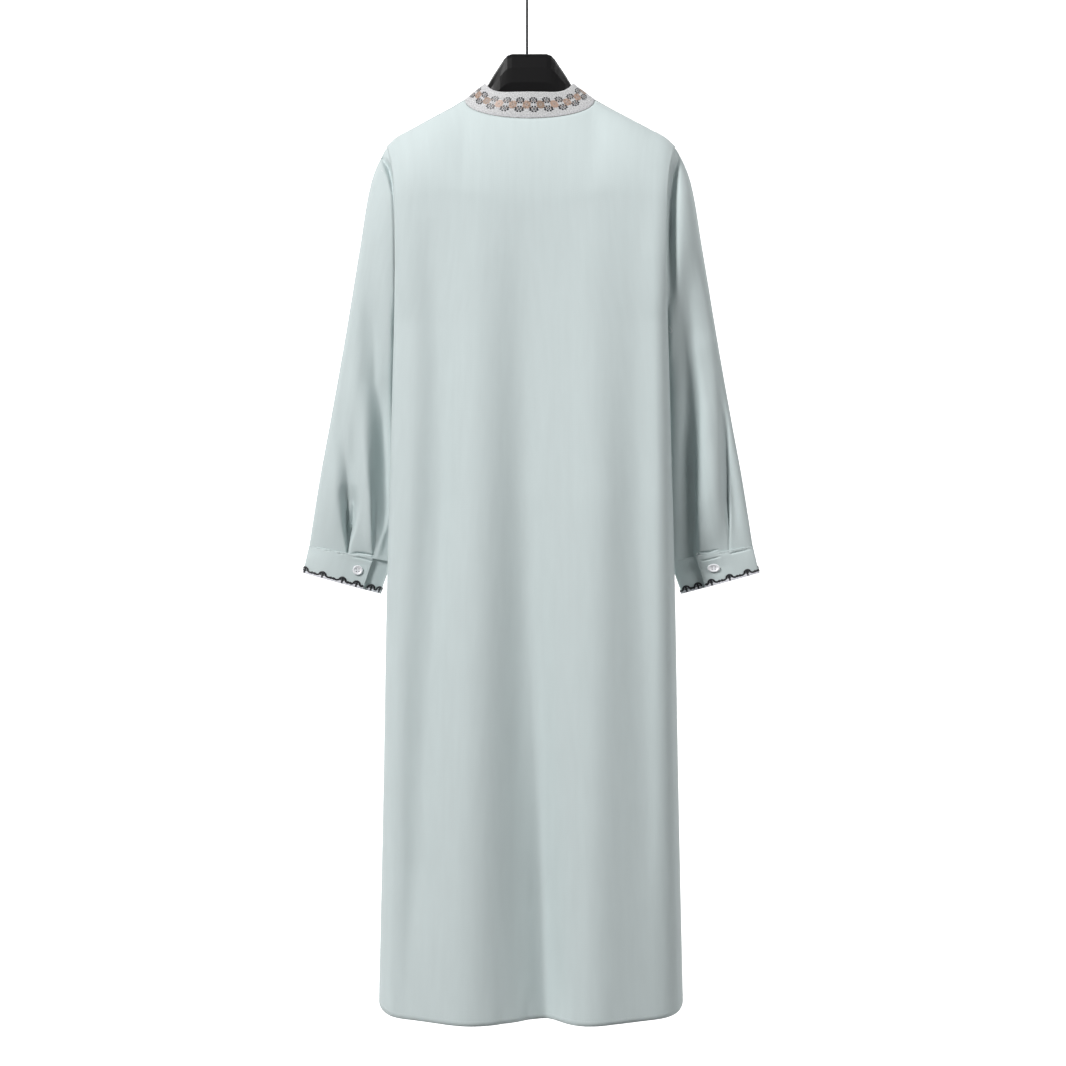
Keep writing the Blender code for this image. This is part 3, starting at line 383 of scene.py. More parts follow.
def panel_points(side, columns, rows):
    """The middle of a panel's cloth. Rows run 0 at the hem, 1 at the underarm and 2 along the top edge."""
    u = np.asarray(columns, float)[None, :]
    v = np.asarray(rows, float)[:, None]
    half = 1.0 - np.abs(2.0 * u - 1.0)
    sign = np.where(u < 0.5, -1.0, 1.0)
    name = "back" if side < 0 else "front"
    top_across, top_z = top_edge(side, half)
    upper = np.clip(v - 1.0, 0.0, 1.0)
    lower = np.clip(v, 0.0, 1.0)
    above = v > 1.0
    hem = HEM_Z - HEM_DIP * np.sin(half * math.pi / 2.0) ** 2
    hem = hem + HEM_CORNER * np.exp(-((half / HEM_CORNER_REACH) ** 2))
    z = np.where(above, UNDERARM_Z + (top_z - UNDERARM_Z) * upper, hem + (UNDERARM_Z - hem) * lower)
    edge_below = HEM_Z + (UNDERARM_Z - HEM_Z) * lower
    edge_z = np.where(above, UNDERARM_Z + (SHOULDER_TIP_Z - UNDERARM_Z) * upper, edge_below)
    width = np.where(above, read(ARMHOLE, "half_width", "z", edge_z), read(BODY, "half_width", "z", edge_z))
    edge_y = np.where(above, read(ARMHOLE, name + "_y", "z", edge_z), read(BODY, "seam_y", "z", edge_z))
    depth = side * read(BODY, name + "_depth", "z", edge_z)
    square = read(BODY, name + "_square", "z", edge_z)
    spread = np.array([even_spread(w[0], abs(d[0] - e[0]), s[0], half[0])
                       for w, d, e, s in zip(width, depth, edge_y, square)])
    share = spread + (top_across / SHOULDER_TIP_ACROSS - spread) * ease(upper)
    across = share * width
    ridge = read(SHOULDER, "z", "across", across)
    roll = np.clip((ridge - z) / read(SHOULDER, "roll", "across", across), 0.0, 1.0)
    roundness = read(SHOULDER, "round", "across", across)
    full = depth * (1.0 - (1.0 - roll) ** roundness) ** (1.0 / roundness)
    bulge = (1.0 - np.clip(share, 0.0, 1.0) ** square) ** (1.0 / square)
    across = sign * across
    standing = folds(BACK_FOLDS if side < 0 else FRONT_FOLDS, across, z)
    standing = standing + creases(across, z, BACK_CREASES if side < 0 else FRONT_CREASES)
    seam_roll = SEAM_ROLL * np.exp(-(((width - np.abs(across)) / SEAM_ROLL_WIDTH) ** 2)) * ease(roll * 6.0)
    y = edge_y + (full - edge_y) * bulge + side * standing * np.clip(bulge * 1.25, 0.0, 1.0) ** 2
    y = y + side * seam_roll * ease(upper * 4.0)
    x = across + NECK_SHIFT * (1.0 - share) * ease(upper) + GARMENT_CENTRE
    return np.stack(np.broadcast_arrays(x, y, z), axis=-1)


print("The hem's middle is at", np.round(panel_points(-1, [0.5], [0.0])[0, 0], 1))

# %% [markdown]
# ## Cloth finishes
# The robe is a plain, closely woven cloth in a pale grey green. Two crossed waves make its threads, and a
# slow noise, drawn out along the warp, gives the slight unevenness that a dyed cloth has.

# %% Robe cloth
def node(tree, kind, **values):
    """A shader node with its values set by input name."""
    made = tree.nodes.new(kind)
    for name, value in values.items():
        made.inputs[name.replace("_", " ")].default_value = value
    return made


def uneven_colour(tree, shader, noise, colour, share):
    """Lets a noise take the colour a share darker here and a share lighter there."""
    tint = node(tree, "ShaderNodeMix")
    tint.data_type = "RGBA"
    tint.inputs["A"].default_value = (*[c * (1.0 - share) for c in colour], 1.0)
    tint.inputs["B"].default_value = (*[min(c * (1.0 + share), 1.0) for c in colour], 1.0)
    tree.links.new(noise, tint.inputs["Factor"])
    tree.links.new(tint.outputs["Result"], shader.inputs["Base Color"])


def fine_relief(tree, shader, height, strength, depth):
    """Lets a height bend the light as a relief of that depth, in millimetres, would."""
    bump = node(tree, "ShaderNodeBump", Strength=strength, Distance=depth * MM)
    tree.links.new(height, bump.inputs["Height"])
    tree.links.new(bump.outputs["Normal"], shader.inputs["Normal"])


def woven_cloth(name, colour, thread, relief, roughness, sheen, unevenness=0.04, flecks=90.0, drawn=0.12):
    """A woven cloth. thread is the space between threads in millimetres, drawn how long its flecks are."""
    material, tree, shader = new_material(name)
    shader.inputs["Roughness"].default_value = roughness
    shader.inputs["Sheen Weight"].default_value = sheen
    shader.inputs["Sheen Roughness"].default_value = 0.4
    shader.inputs["Specular IOR Level"].default_value = 0.3
    place = node(tree, "ShaderNodeTexCoord")
    scaled = node(tree, "ShaderNodeMapping")
    scaled.inputs["Scale"].default_value = (1.0, drawn, 1.0)
    tree.links.new(place.outputs["UV"], scaled.inputs["Vector"])
    slow = node(tree, "ShaderNodeTexNoise", Scale=flecks, Detail=3.0)
    tree.links.new(scaled.outputs["Vector"], slow.inputs["Vector"])
    uneven_colour(tree, shader, slow.outputs["Fac"], colour, unevenness)
    waves = []
    for direction in ("X", "Y"):
        wave = node(tree, "ShaderNodeTexWave", Scale=1000.0 / thread / 20.0, Distortion=0.6, Detail=1.0)
        wave.bands_direction = direction
        tree.links.new(place.outputs["UV"], wave.inputs["Vector"])
        waves.append(wave)
    threads = node(tree, "ShaderNodeMath")
    threads.operation = "MULTIPLY"
    for index, wave in enumerate(waves):
        tree.links.new(wave.outputs["Fac"], threads.inputs[index])
    fine_relief(tree, shader, threads.outputs["Value"], 0.25, relief)
    return material


ROBE_COLOUR = (0.570, 0.640, 0.640)
robe_cloth = woven_cloth("robe_cloth", ROBE_COLOUR, 0.55, 0.12, 0.78, 0.12)
print("Robe cloth made")

# %% [markdown]
# ## From a grid to a piece of cloth
# A piece is made on its grid of points and gets its thickness from a Solidify modifier. Its UVs measure the
# cloth in metres, so that the weave has one size on all of the robe. Every piece hides the solid it stands
# in for.

# %% Cloth pieces from grids
def cloth_area(points, closed=False):
    """The area of a grid of cloth in square metres."""
    if closed:
        points = np.concatenate((points, points[:, :1]), axis=1)
    one = points[1:, :-1] - points[:-1, :-1]
    two = points[:-1, 1:] - points[:-1, :-1]
    three = points[1:, :-1] - points[1:, 1:]
    four = points[:-1, 1:] - points[1:, 1:]
    halves = np.linalg.norm(np.cross(one, two), axis=-1) + np.linalg.norm(np.cross(three, four), axis=-1)
    return float(halves.sum() / 2.0) * MM * MM


def cloth_mesh(name, points, material, closed=False):
    """A mesh on a grid of points, with UVs that measure the cloth in metres."""
    rows, columns = points.shape[:2]
    spans = columns if closed else columns - 1
    row, column = np.meshgrid(np.arange(rows - 1), np.arange(spans), indexing="ij")
    following = (column + 1) % columns
    faces = np.stack((row * columns + column, row * columns + following,
                      (row + 1) * columns + following, (row + 1) * columns + column), axis=-1).reshape(-1, 4)
    mesh = bpy.data.meshes.new(name)
    mesh.from_pydata((points.reshape(-1, 3) * MM).tolist(), [], faces.tolist())
    middle = points[rows // 2]
    along = np.concatenate(([0.0], np.cumsum(np.linalg.norm(np.diff(middle, axis=0), axis=-1)))) * MM
    if closed:
        along = np.append(along, along[-1] + np.linalg.norm(middle[0] - middle[-1]) * MM)
    upright = points[:, columns // 4]
    up = np.concatenate(([0.0], np.cumsum(np.linalg.norm(np.diff(upright, axis=0), axis=-1)))) * MM
    corner_u = np.stack((along[column], along[column + 1], along[column + 1], along[column]), axis=-1)
    corner_v = np.stack((up[row], up[row], up[row + 1], up[row + 1]), axis=-1)
    layer = mesh.uv_layers.new(name="cloth")
    layer.data.foreach_set("uv", np.stack((corner_u, corner_v), axis=-1).reshape(-1).astype(np.float32))
    mesh.shade_smooth()
    mesh.materials.append(material)
    return mesh


def hung_piece(name, mesh):
    """A mesh put into the scene as a piece that rides on the robe's one body."""
    piece = bpy.data.objects.new(name, mesh)
    bpy.context.scene.collection.objects.link(piece)
    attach(piece, "root")
    return piece


def small_piece(name, points, faces, material):
    """A small visible piece from points in millimetres."""
    mesh = bpy.data.meshes.new(name)
    mesh.from_pydata((np.array(points) * MM).tolist(), [], faces)
    mesh.shade_smooth()
    mesh.materials.append(material)
    return hung_piece(name, mesh)


def cloth_piece(name, points, material, thickness, replaced, closed=False):
    """A piece of cloth of an even thickness, hung where its solid is."""
    mesh = cloth_mesh(name, points, material, closed)
    piece = hung_piece(name, mesh)
    thick = piece.modifiers.new("thickness", "SOLIDIFY")
    thick.thickness = thickness * MM
    thick.offset = 0.0
    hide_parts(replaced)
    print(name, "has", len(mesh.polygons), "faces")
    return piece


small_square = np.array([[(0, 0, 0), (10, 0, 0)], [(0, 0, 10), (10, 0, 10)]])
print("A square of 10 mm measures", cloth_area(small_square), "m2")

# %% [markdown]
# ## Back and front
# Each panel is a grid of points on the body's surface. The columns lie closer together at the side edges,
# where the seam's small roll needs them.

# %% Back and front panels
PANEL_CLOTH = 1.4


def panel_columns(count):
    """Columns across a panel, closer near its edges."""
    edge = np.linspace(0.0, 0.02, 9)
    return np.concatenate((edge, np.linspace(0.02, 0.98, count)[1:-1], 1.0 - edge[::-1]))


def panel_rows(below, above):
    """Rows up a panel, even below the underarm and closer above it."""
    return np.concatenate((np.linspace(0.0, 1.0, below), np.linspace(1.0, 2.0, above)[1:]))


back_points = panel_points(-1, panel_columns(168), panel_rows(166, 72))
front_points = panel_points(1, panel_columns(104), panel_rows(110, 56))
back_panel = cloth_piece("back_cloth", back_points, robe_cloth, PANEL_CLOTH, "back_panel")
front_panel = cloth_piece("front_cloth", front_points, robe_cloth, PANEL_CLOTH, "front_panel")
print("Back area", round(cloth_area(back_points), 3), "front area", round(cloth_area(front_points), 3))

# %% [markdown]
# ## Sleeves
# A sleeve is a tube that starts as the armhole's own outline and settles into a flattened tube that hangs
# behind the back's edge. Its folds run down to the cuff, where a pleat takes in the sleeve's width.

# %% Sleeve sizes
SLEEVE = {
    "along":      (0.0, 0.12, 0.30, 0.50, 0.70, 0.85, 1.0),
    "outer_x":    (216.0, 237.0, 258.0, 280.0, 302.0, 319.0, 335.0),
    "outer_z":    (-284.0, -331.0, -440.0, -570.0, -692.0, -784.0, -884.0),
    "inner_x":    (203.0, 205.2, 205.8, 205.8, 205.5, 207.0, 212.0),
    "inner_z":    (-551.0, -574.0, -628.0, -696.0, -776.0, -842.0, -907.0),
    "centre_y":   (0.0, 8.0, 24.0, 29.0, 30.0, 30.0, 30.0),
    "half_depth": (45.0, 43.0, 38.0, 33.0, 29.0, 25.0, 13.0),
    "settle":     (0.0, 0.45, 0.9, 1.0, 1.0, 1.0, 1.0),
}
SLEEVE_BOTTOM_SQUARE = 2.4
SEAM_REACH = 0.012
FLATTER_BACK = 1.1
CUFF_SQUARE = 3.8
LEFT_SLEEVE_FOLDS = (
    # side     across        along               width  rise
    ("back", (0.26, 0.26), (0.42, 0.80, 0.99), 0.13, 4.0),
    ("back", (0.30, 0.47), (0.56, 0.88, 1.00), 0.09, -6.0),
    ("back", (0.40, 0.72), (0.25, 0.80, 1.00), 0.12, 6.5),
    ("back", (0.75, 0.90), (0.20, 0.65, 0.98), 0.12, -7.0),
    ("front", (0.35, 0.45), (0.30, 0.75, 0.98), 0.14, 5.0),
    ("front", (0.70, 0.72), (0.15, 0.60, 0.98), 0.12, -5.0),
)
RIGHT_SLEEVE_FOLDS = (
    ("back", (0.10, 0.17), (0.45, 0.88, 1.00), 0.07, -7.0),
    ("back", (0.34, 0.38), (0.30, 0.80, 0.99), 0.12, 5.5),
    ("back", (0.60, 0.70), (0.20, 0.72, 1.00), 0.13, -8.5),
    ("front", (0.25, 0.40), (0.30, 0.70, 0.98), 0.14, 4.5),
    ("front", (0.66, 0.62), (0.18, 0.65, 0.98), 0.12, -5.0),
)
LEFT_SLEEVE_CREASES = (
    # the pleat's valley, which ends in a sharp notch at the cuff
    ((-288.0, -660.0, 0.0, 12.0, 8.0), (-281.0, -754.0, -9.0, 12.0, 8.0),
     (-274.0, -814.0, -10.0, 12.0, 9.0), (-274.0, -850.0, -3.0, 8.0, 8.0),
     (-275.0, -880.0, 0.0, 4.0, 4.0)),
    # its mouth at the cuff: a crisp left edge, a softer right one, and a dark pocket between them
    ((-283.0, -790.0, 0.0, 8.0, 6.0), (-279.0, -820.0, -9.0, 6.0, 5.0),
     (-280.0, -838.0, -16.0, 3.5, 5.0), (-280.0, -859.0, -21.0, 2.2, 4.5),
     (-278.3, -878.0, -21.0, 1.5, 3.2), (-276.8, -894.0, -18.0, 1.0, 1.6)),
    ((-266.0, -790.0, 0.0, 8.0, 8.0), (-266.0, -820.0, -10.0, 6.0, 6.0),
     (-268.5, -838.0, -15.0, 6.0, 5.0), (-271.5, -859.0, -18.0, 5.0, 3.5),
     (-274.4, -878.0, -17.0, 3.0, 2.0), (-276.4, -892.0, -12.0, 1.0, 1.5)),
    # the ridge that becomes the slit's edge
    ((-270.0, -600.0, 0.0, 18.0, 14.0), (-256.0, -694.0, 4.0, 14.0, 14.0),
     (-247.0, -754.0, 6.0, 10.0, 9.0), (-241.0, -814.0, 7.0, 9.0, 4.0), (-240.0, -895.0, 6.0, 9.0, 1.2)),
    # the hollow beside the body
    ((-240.0, -420.0, 0.0, 16.0, 16.0), (-239.0, -500.0, -6.0, 18.0, 14.0),
     (-237.0, -560.0, -10.0, 18.0, 12.0), (-236.0, -634.0, -11.0, 16.0, 11.0),
     (-226.0, -694.0, -7.0, 14.0, 10.0), (-220.0, -754.0, -6.0, 12.0, 9.0),
     (-219.0, -814.0, -6.0, 10.0, 9.0), (-219.0, -895.0, -5.0, 10.0, 9.0)),
    # a puckered fold across the slit's lower layer
    ((-232.0, -900.0, 2.5, 4.0, 3.0), (-216.0, -850.0, 2.5, 4.0, 4.0), (-212.0, -820.0, 0.0, 4.0, 4.0)),
    # the deep fold under the shoulder's gathers, and the small puff outside it
    ((-231.0, -295.0, -6.0, 2.5, 2.5), (-222.0, -304.0, -16.0, 3.5, 5.0),
     (-212.0, -320.0, -22.0, 5.0, 8.0), (-206.0, -340.0, -16.0, 4.0, 6.0),
     (-203.0, -362.0, -6.0, 3.0, 5.0), (-201.0, -400.0, -3.0, 3.0, 4.0),
     (-200.0, -520.0, -2.0, 3.0, 4.0)),
    ((-231.0, -306.0, 2.5, 4.0, 4.0), (-226.0, -318.0, 2.5, 5.0, 3.0), (-224.0, -326.0, 0.0, 4.0, 3.0)),
)
RIGHT_SLEEVE_CREASES = (
    # the ridge above the buttoned end
    ((262.0, -560.0, 0.0, 14.0, 12.0), (274.0, -634.0, 5.0, 18.0, 8.0),
     (280.0, -694.0, 8.0, 22.0, 7.0), (280.0, -754.0, 8.0, 24.0, 8.0),
     (280.0, -814.0, 5.0, 24.0, 12.0), (280.0, -890.0, 1.0, 24.0, 14.0)),
    # the slit's edge
    ((257.0, -660.0, 0.0, 4.0, 14.0), (254.0, -724.0, 5.0, 3.0, 15.0), (252.0, -814.0, 9.0, 2.2, 26.0),
     (254.0, -905.0, 8.0, 2.0, 34.0)),
    # the pleat with its crisp outer edge
    ((288.0, -650.0, 0.0, 10.0, 6.0), (293.0, -700.0, -4.0, 10.0, 5.0),
     (295.0, -764.0, -8.0, 10.0, 3.0), (296.5, -812.0, -12.0, 9.0, 2.2),
     (298.0, -838.0, -9.0, 5.0, 1.8), (298.5, -860.0, -4.0, 2.5, 1.5), (299.0, -890.0, -2.0, 2.0, 1.5)),
    # the hollow beside the body
    ((236.0, -540.0, 0.0, 14.0, 10.0), (240.0, -634.0, -5.0, 16.0, 10.0),
     (246.0, -694.0, -7.0, 18.0, 8.0), (247.0, -754.0, -9.0, 20.0, 6.0),
     (247.0, -814.0, -10.0, 22.0, 4.0), (246.0, -900.0, -9.0, 22.0, 4.0)),
    # the outer half rolls towards the camera
    ((228.0, -310.0, 0.0, 12.0, 6.0), (236.0, -360.0, 9.0, 18.0, 6.0),
     (250.0, -430.0, 14.0, 24.0, 7.0), (266.0, -510.0, 15.0, 28.0, 8.0),
     (280.0, -580.0, 12.0, 30.0, 10.0), (300.0, -660.0, 3.0, 24.0, 12.0),
     (306.0, -700.0, 0.0, 24.0, 12.0)),
    # the dark wedge under the shoulder
    ((223.0, -291.0, -4.0, 5.0, 2.0), (219.0, -306.0, -12.0, 7.0, 4.0),
     (212.0, -330.0, -16.0, 6.0, 6.0), (207.0, -370.0, -18.0, 5.0, 9.0),
     (206.0, -430.0, -18.0, 5.0, 9.0), (206.0, -500.0, -11.0, 5.0, 9.0),
     (205.0, -560.0, -3.0, 5.0, 10.0), (205.0, -600.0, 0.0, 5.0, 10.0)),
)
print(len(LEFT_SLEEVE_CREASES), "creases on the left sleeve,", len(RIGHT_SLEEVE_CREASES), "on the right one")

# %% [markdown]
# ## Gathers at the cuff's seam
# A sleeve is wider than its cuff, and the spare cloth is eased into the seam. It stands there in small
# slanted dimples, no two alike, and in a few longer wrinkles beside the button. The wrinkles are listed one
# by one. The dimples come from a loop with a seeded random hand, so that they fall the same way at each run.

# %% Creases along the cuff's seam
# the share of the long creases that is gone at the cuff, for each hand
AT_CUFF = {-1: 0.7, 1: 0.25}
SEAM_CREASES = {
    -1: (
        # two long gathers from the pleat to the buttoned end
        ((-272.0, -895.5, 0.0, 1.2, 1.2), (-262.0, -893.6, -3.0, 1.3, 1.7),
         (-250.0, -894.6, -3.0, 1.3, 1.7), (-240.0, -896.5, -1.5, 1.2, 1.2)),
        ((-270.0, -899.5, 0.0, 1.2, 1.2), (-256.0, -901.0, -2.8, 1.3, 1.7),
         (-246.0, -903.6, -3.0, 1.3, 1.7), (-238.0, -906.0, -1.8, 1.2, 1.2)),
    ),
    1: (
        ((255.0, -893.0, -2.2, 1.3, 1.6), (268.0, -892.4, -2.2, 1.3, 1.6),
         (280.0, -888.5, -0.8, 1.2, 1.2)),
        ((257.0, -905.5, -2.0, 1.3, 1.6), (270.0, -903.0, -2.2, 1.3, 1.6),
         (284.0, -899.0, -0.8, 1.2, 1.2)),
        ((302.0, -894.5, -2.2, 1.2, 1.5), (316.0, -891.5, -2.2, 1.2, 1.5),
         (330.0, -888.5, -0.8, 1.2, 1.2)),
    ),
}
# the first and the last dimple's place, and how many there are
GATHERS = {-1: (-333.0, -281.0, 9), 1: (284.0, 333.0, 8)}


def seam_gathers(hand):
    """Short slanted dimples where the seam draws the sleeve in."""
    first, last, count = GATHERS[hand]
    uneven = random.Random(11 + hand)
    lines = []
    for across in np.linspace(first, last, count):
        share = (abs(across) - SLEEVE["inner_x"][-1]) / (SLEEVE["outer_x"][-1] - SLEEVE["inner_x"][-1])
        z = SLEEVE["inner_z"][-1] + (SLEEVE["outer_z"][-1] - SLEEVE["inner_z"][-1]) * share
        z = z + uneven.uniform(-2.2, 0.6)
        lean, reach = uneven.uniform(-1.4, 0.2) * hand, uneven.uniform(2.2, 3.4)
        deep = uneven.uniform(-1.5, -0.8)
        lines.append(((across - reach, z - lean, 0.0, 0.8, 0.9), (across, z, deep, 0.9, 1.1),
                      (across + reach, z + lean, 0.0, 0.8, 0.9)))
    return tuple(lines)


print(len(seam_gathers(-1)), "and", len(seam_gathers(1)), "dimples at the cuffs' seams")

# %% [markdown]
# ## The sleeve's surface
# A sleeve begins as the armhole's outline and settles into a flattened tube in its first half.
# Both shapes are read at the same turn round the sleeve and mixed, so that nothing twists on the way down.

# %% Sleeve surface
def sleeve_folds(table, turn, along):
    """How far a sleeve's folds stand out."""
    share = (1.0 - np.cos(2.0 * math.pi * turn)) / 2.0
    on_back = (turn % 1.0) <= 0.5
    out = np.zeros(np.broadcast(turn, along).shape)
    for side, (first, last), (start, fullest, end), width, rise in table:
        centre = first + (last - first) * np.clip((along - start) / (end - start), 0.0, 1.0)
        height = ease((along - start) / (fullest - start)) * ease((end - along) / (end - fullest))
        here = on_back if side == "back" else ~on_back
        out = out + rise * height * np.exp(-(((share - centre) / width) ** 2)) * here
    return out * np.abs(np.sin(2.0 * math.pi * turn)) ** 0.5


def sleeve_points(hand, turns, alongs):
    """The middle of a sleeve's cloth. hand is -1 for the one at -X, turns run from the tip down the back."""
    turn = np.asarray(turns, float)[None, :]
    along = np.asarray(alongs, float)[:, None]
    column = {name: read(SLEEVE, name, "along", along) for name in SLEEVE if name != "along"}
    swing = np.cos(2.0 * math.pi * turn)
    depth_side = -np.sin(2.0 * math.pi * turn)
    x = (column["outer_x"] + column["inner_x"]) / 2.0 + (column["outer_x"] - column["inner_x"]) / 2.0 * swing
    z = (column["outer_z"] + column["inner_z"]) / 2.0 + (column["outer_z"] - column["inner_z"]) / 2.0 * swing
    middle_z = (SHOULDER_TIP_Z + UNDERARM_Z) / 2.0
    hole_z = middle_z + (SHOULDER_TIP_Z - UNDERARM_Z) / 2.0 * swing
    hole_x = read(ARMHOLE, "half_width", "z", hole_z)
    straight_x = (SHOULDER_TIP_ACROSS + ARMHOLE["half_width"][0]) / 2.0
    straight_x = straight_x + (SHOULDER_TIP_ACROSS - ARMHOLE["half_width"][0]) / 2.0 * swing
    back_edge = read(ARMHOLE, "back_y", "z", hole_z)
    front_edge = read(ARMHOLE, "front_y", "z", hole_z)
    on_back = (turn % 1.0) <= 0.5
    hole_y = np.where(on_back, back_edge, front_edge)
    settle = np.clip(column["settle"], 0.0, 1.0)
    flatter = FLATTER_BACK * on_back * np.sin(math.pi * np.clip(along, 0.0, 1.0)) ** 0.5
    square = 2.0 / (2.0 + (SLEEVE_BOTTOM_SQUARE - 2.0) * along + flatter)
    tube_y = column["centre_y"] + column["half_depth"] * np.sign(depth_side) * np.abs(depth_side) ** square
    table = LEFT_SLEEVE_FOLDS if hand < 0 else RIGHT_SLEEVE_FOLDS
    tube_y = tube_y + np.sign(depth_side) * sleeve_folds(table, turn, along)
    x = x + (hole_x - straight_x) * (1.0 - settle)
    lines = LEFT_SLEEVE_CREASES if hand < 0 else RIGHT_SLEEVE_CREASES
    from_seam = 1.0 - np.exp(-((along / SEAM_REACH) ** 2))
    from_seam = from_seam * (1.0 - AT_CUFF[hand] * ease((along - 0.93) / 0.07))
    placed = creases(hand * x, z + 0.0 * x, lines) * np.abs(depth_side) ** 0.5 * on_back * from_seam
    at_seam = creases(hand * x, z + 0.0 * x, SEAM_CREASES[hand] + seam_gathers(hand))
    placed = placed + at_seam * np.clip(-depth_side, 0.0, 1.0) ** 0.5
    y = hole_y + (tube_y - hole_y) * settle - placed
    return np.stack(np.broadcast_arrays(hand * x + GARMENT_CENTRE, y, z), axis=-1)


print("The left sleeve's lowest point is at", np.round(sleeve_points(-1, [0.5], [1.0])[0, 0], 1))

# %% Sleeves
SLEEVE_TUCK = -(CLOTH + SEAM_GAP)


def sleeve_grid(hand):
    """A sleeve's points. Its first ring is tucked in, because the body's turned edge lies over it."""
    turns = np.concatenate((np.linspace(0.0, 0.5, 145), np.linspace(0.5, 1.0, 57)[1:-1]))
    alongs = np.concatenate((np.linspace(0.0, 0.1, 26), np.linspace(0.1, 0.85, 92)[1:],
                             np.linspace(0.85, 0.965, 36)[1:], np.linspace(0.965, 1.0, 33)[1:]))
    grid = sleeve_points(hand, turns, alongs)
    swing = np.cos(2.0 * math.pi * turns)
    facing = np.stack((hand * (0.35 + 0.65 * np.abs(swing)), -np.sin(2.0 * math.pi * turns) * 0.9,
                       0.8 * np.clip(swing, 0.0, 1.0)), axis=-1)
    fade = np.exp(-((alongs / SEAM_REACH) ** 2))[:, None, None]
    return grid + unit(facing)[None] * SLEEVE_TUCK * fade


sleeve_grids = {}
for hand, side in ((-1, "left"), (1, "right")):
    sleeve_grids[side] = sleeve_grid(hand)
    cloth_piece(f"{side}_sleeve_cloth", sleeve_grids[side], robe_cloth, PANEL_CLOTH,
                                f"{side}_sleeve", closed=True)

# %% [markdown]
# ## Cuffs
# A cuff is a doubled band, so it is thicker than the sleeve and hangs flatter. Its buttoned end laps over
# the other end, and so the band's turn goes on a little past one full round.

# %% Cuffs
CUFF_OUTER_X, CUFF_OUTER_Z = 344.0, -924.0
CUFF_INNER_X, CUFF_INNER_Z = 229.0, -955.0
CUFF_UNDERLAP_START = 0.24
CUFF_OVERLAP_END = {-1: 1.3485, 1: 1.318}
CUFF_CLOTH, CUFF_HEIGHT = 2.2, 48.0
CUFF_LAYER_STEP = 2.9
# how far the lower end stands back: beside the lap, and further round
UNDERLAP_HOLLOW = {-1: (4.0, 13.5), 1: (1.0, 3.0)}
# soft swells of the upper end, where the sleeve's fulness runs into the cuff
CUFF_LIFT = {
    -1: (((-240.0, -880.0, 2.0, 30.0, 60.0), (-243.0, -903.0, 2.0, 30.0, 60.0),
          (-246.0, -913.0, 0.5, 30.0, 60.0), (-250.0, -960.0, 0.3, 30.0, 60.0)),),
    1: (((262.0, -880.0, 6.0, 80.0, 30.0), (264.0, -902.0, 6.0, 80.0, 30.0),
         (266.0, -917.0, 1.8, 80.0, 30.0), (268.0, -960.0, 1.2, 80.0, 34.0)),),
}


def cuff_points(hand, turns, downs):
    """The middle of a cuff's cloth, from the sleeve's seam (0) to its lower edge (1)."""
    turn = np.asarray(turns, float)[None, :]
    down = np.asarray(downs, float)[:, None]
    swing = np.cos(2.0 * math.pi * turn)
    depth_side = -np.sin(2.0 * math.pi * turn)
    outer_x = SLEEVE["outer_x"][-1] + (CUFF_OUTER_X - SLEEVE["outer_x"][-1]) * down
    outer_z = SLEEVE["outer_z"][-1] + (CUFF_OUTER_Z - SLEEVE["outer_z"][-1]) * down
    inner_x = SLEEVE["inner_x"][-1] + (CUFF_INNER_X - SLEEVE["inner_x"][-1]) * down
    inner_z = SLEEVE["inner_z"][-1] + (CUFF_INNER_Z - SLEEVE["inner_z"][-1]) * down
    x = (outer_x + inner_x) / 2.0 + (outer_x - inner_x) / 2.0 * swing
    z = (outer_z + inner_z) / 2.0 + (outer_z - inner_z) / 2.0 * swing
    depth = SLEEVE["half_depth"][-1] + CUFF_LAYER_STEP * ease((turn - 1.04) / 0.16)
    under = CUFF_OVERLAP_END[hand] - 1.0
    near, far = UNDERLAP_HOLLOW[hand]
    hollow = near * ease((turn - under + 0.10) / 0.10) + (far - near) * ease((turn - under) / 0.13)
    depth = depth - hollow * ease((0.56 - turn) / 0.06)
    square = SLEEVE_BOTTOM_SQUARE + (CUFF_SQUARE - SLEEVE_BOTTOM_SQUARE) * ease(down * 2.0)
    y = SLEEVE["centre_y"][-1] + depth * np.sign(depth_side) * np.abs(depth_side) ** (2.0 / square)
    standing = creases(hand * x, z, SEAM_CREASES[hand] + seam_gathers(hand) + CUFF_LIFT[hand])
    y = y - standing * (turn > 1.0) * np.clip(-depth_side, 0.0, 1.0) ** 0.3
    return np.stack(np.broadcast_arrays(hand * x + GARMENT_CENTRE, y, z), axis=-1)


def cuff_facing(grid):
    """The direction out of the cuff at each of its points."""
    facing = unit(np.cross(np.gradient(grid, axis=1), np.gradient(grid, axis=0)))
    depth = grid[..., 1] - SLEEVE["centre_y"][-1]
    return facing if (depth * facing[..., 1]).sum() > 0.0 else -facing


cuff_turns = {hand: np.linspace(CUFF_UNDERLAP_START, end, 301) for hand, end in CUFF_OVERLAP_END.items()}
cuff_downs = np.concatenate((np.linspace(-0.03, 0.22, 21), np.linspace(0.22, 1.0, 26)[1:]))
cuff_grids = {}
for hand, side in ((-1, "left"), (1, "right")):
    cuff_grids[side] = cuff_points(hand, cuff_turns[hand], cuff_downs)
    cloth_piece(f"{side}_cuff_cloth", cuff_grids[side], robe_cloth, CUFF_CLOTH - 0.2,
                              f"{side}_cuff")

# %% [markdown]
# ## Cuff ribbons
# A narrow pale ribbon edges each cuff and carries the dark stitched scroll. It is the cuff's own surface,
# raised by its thickness, and it stops where the buttoned end laps over the other one.

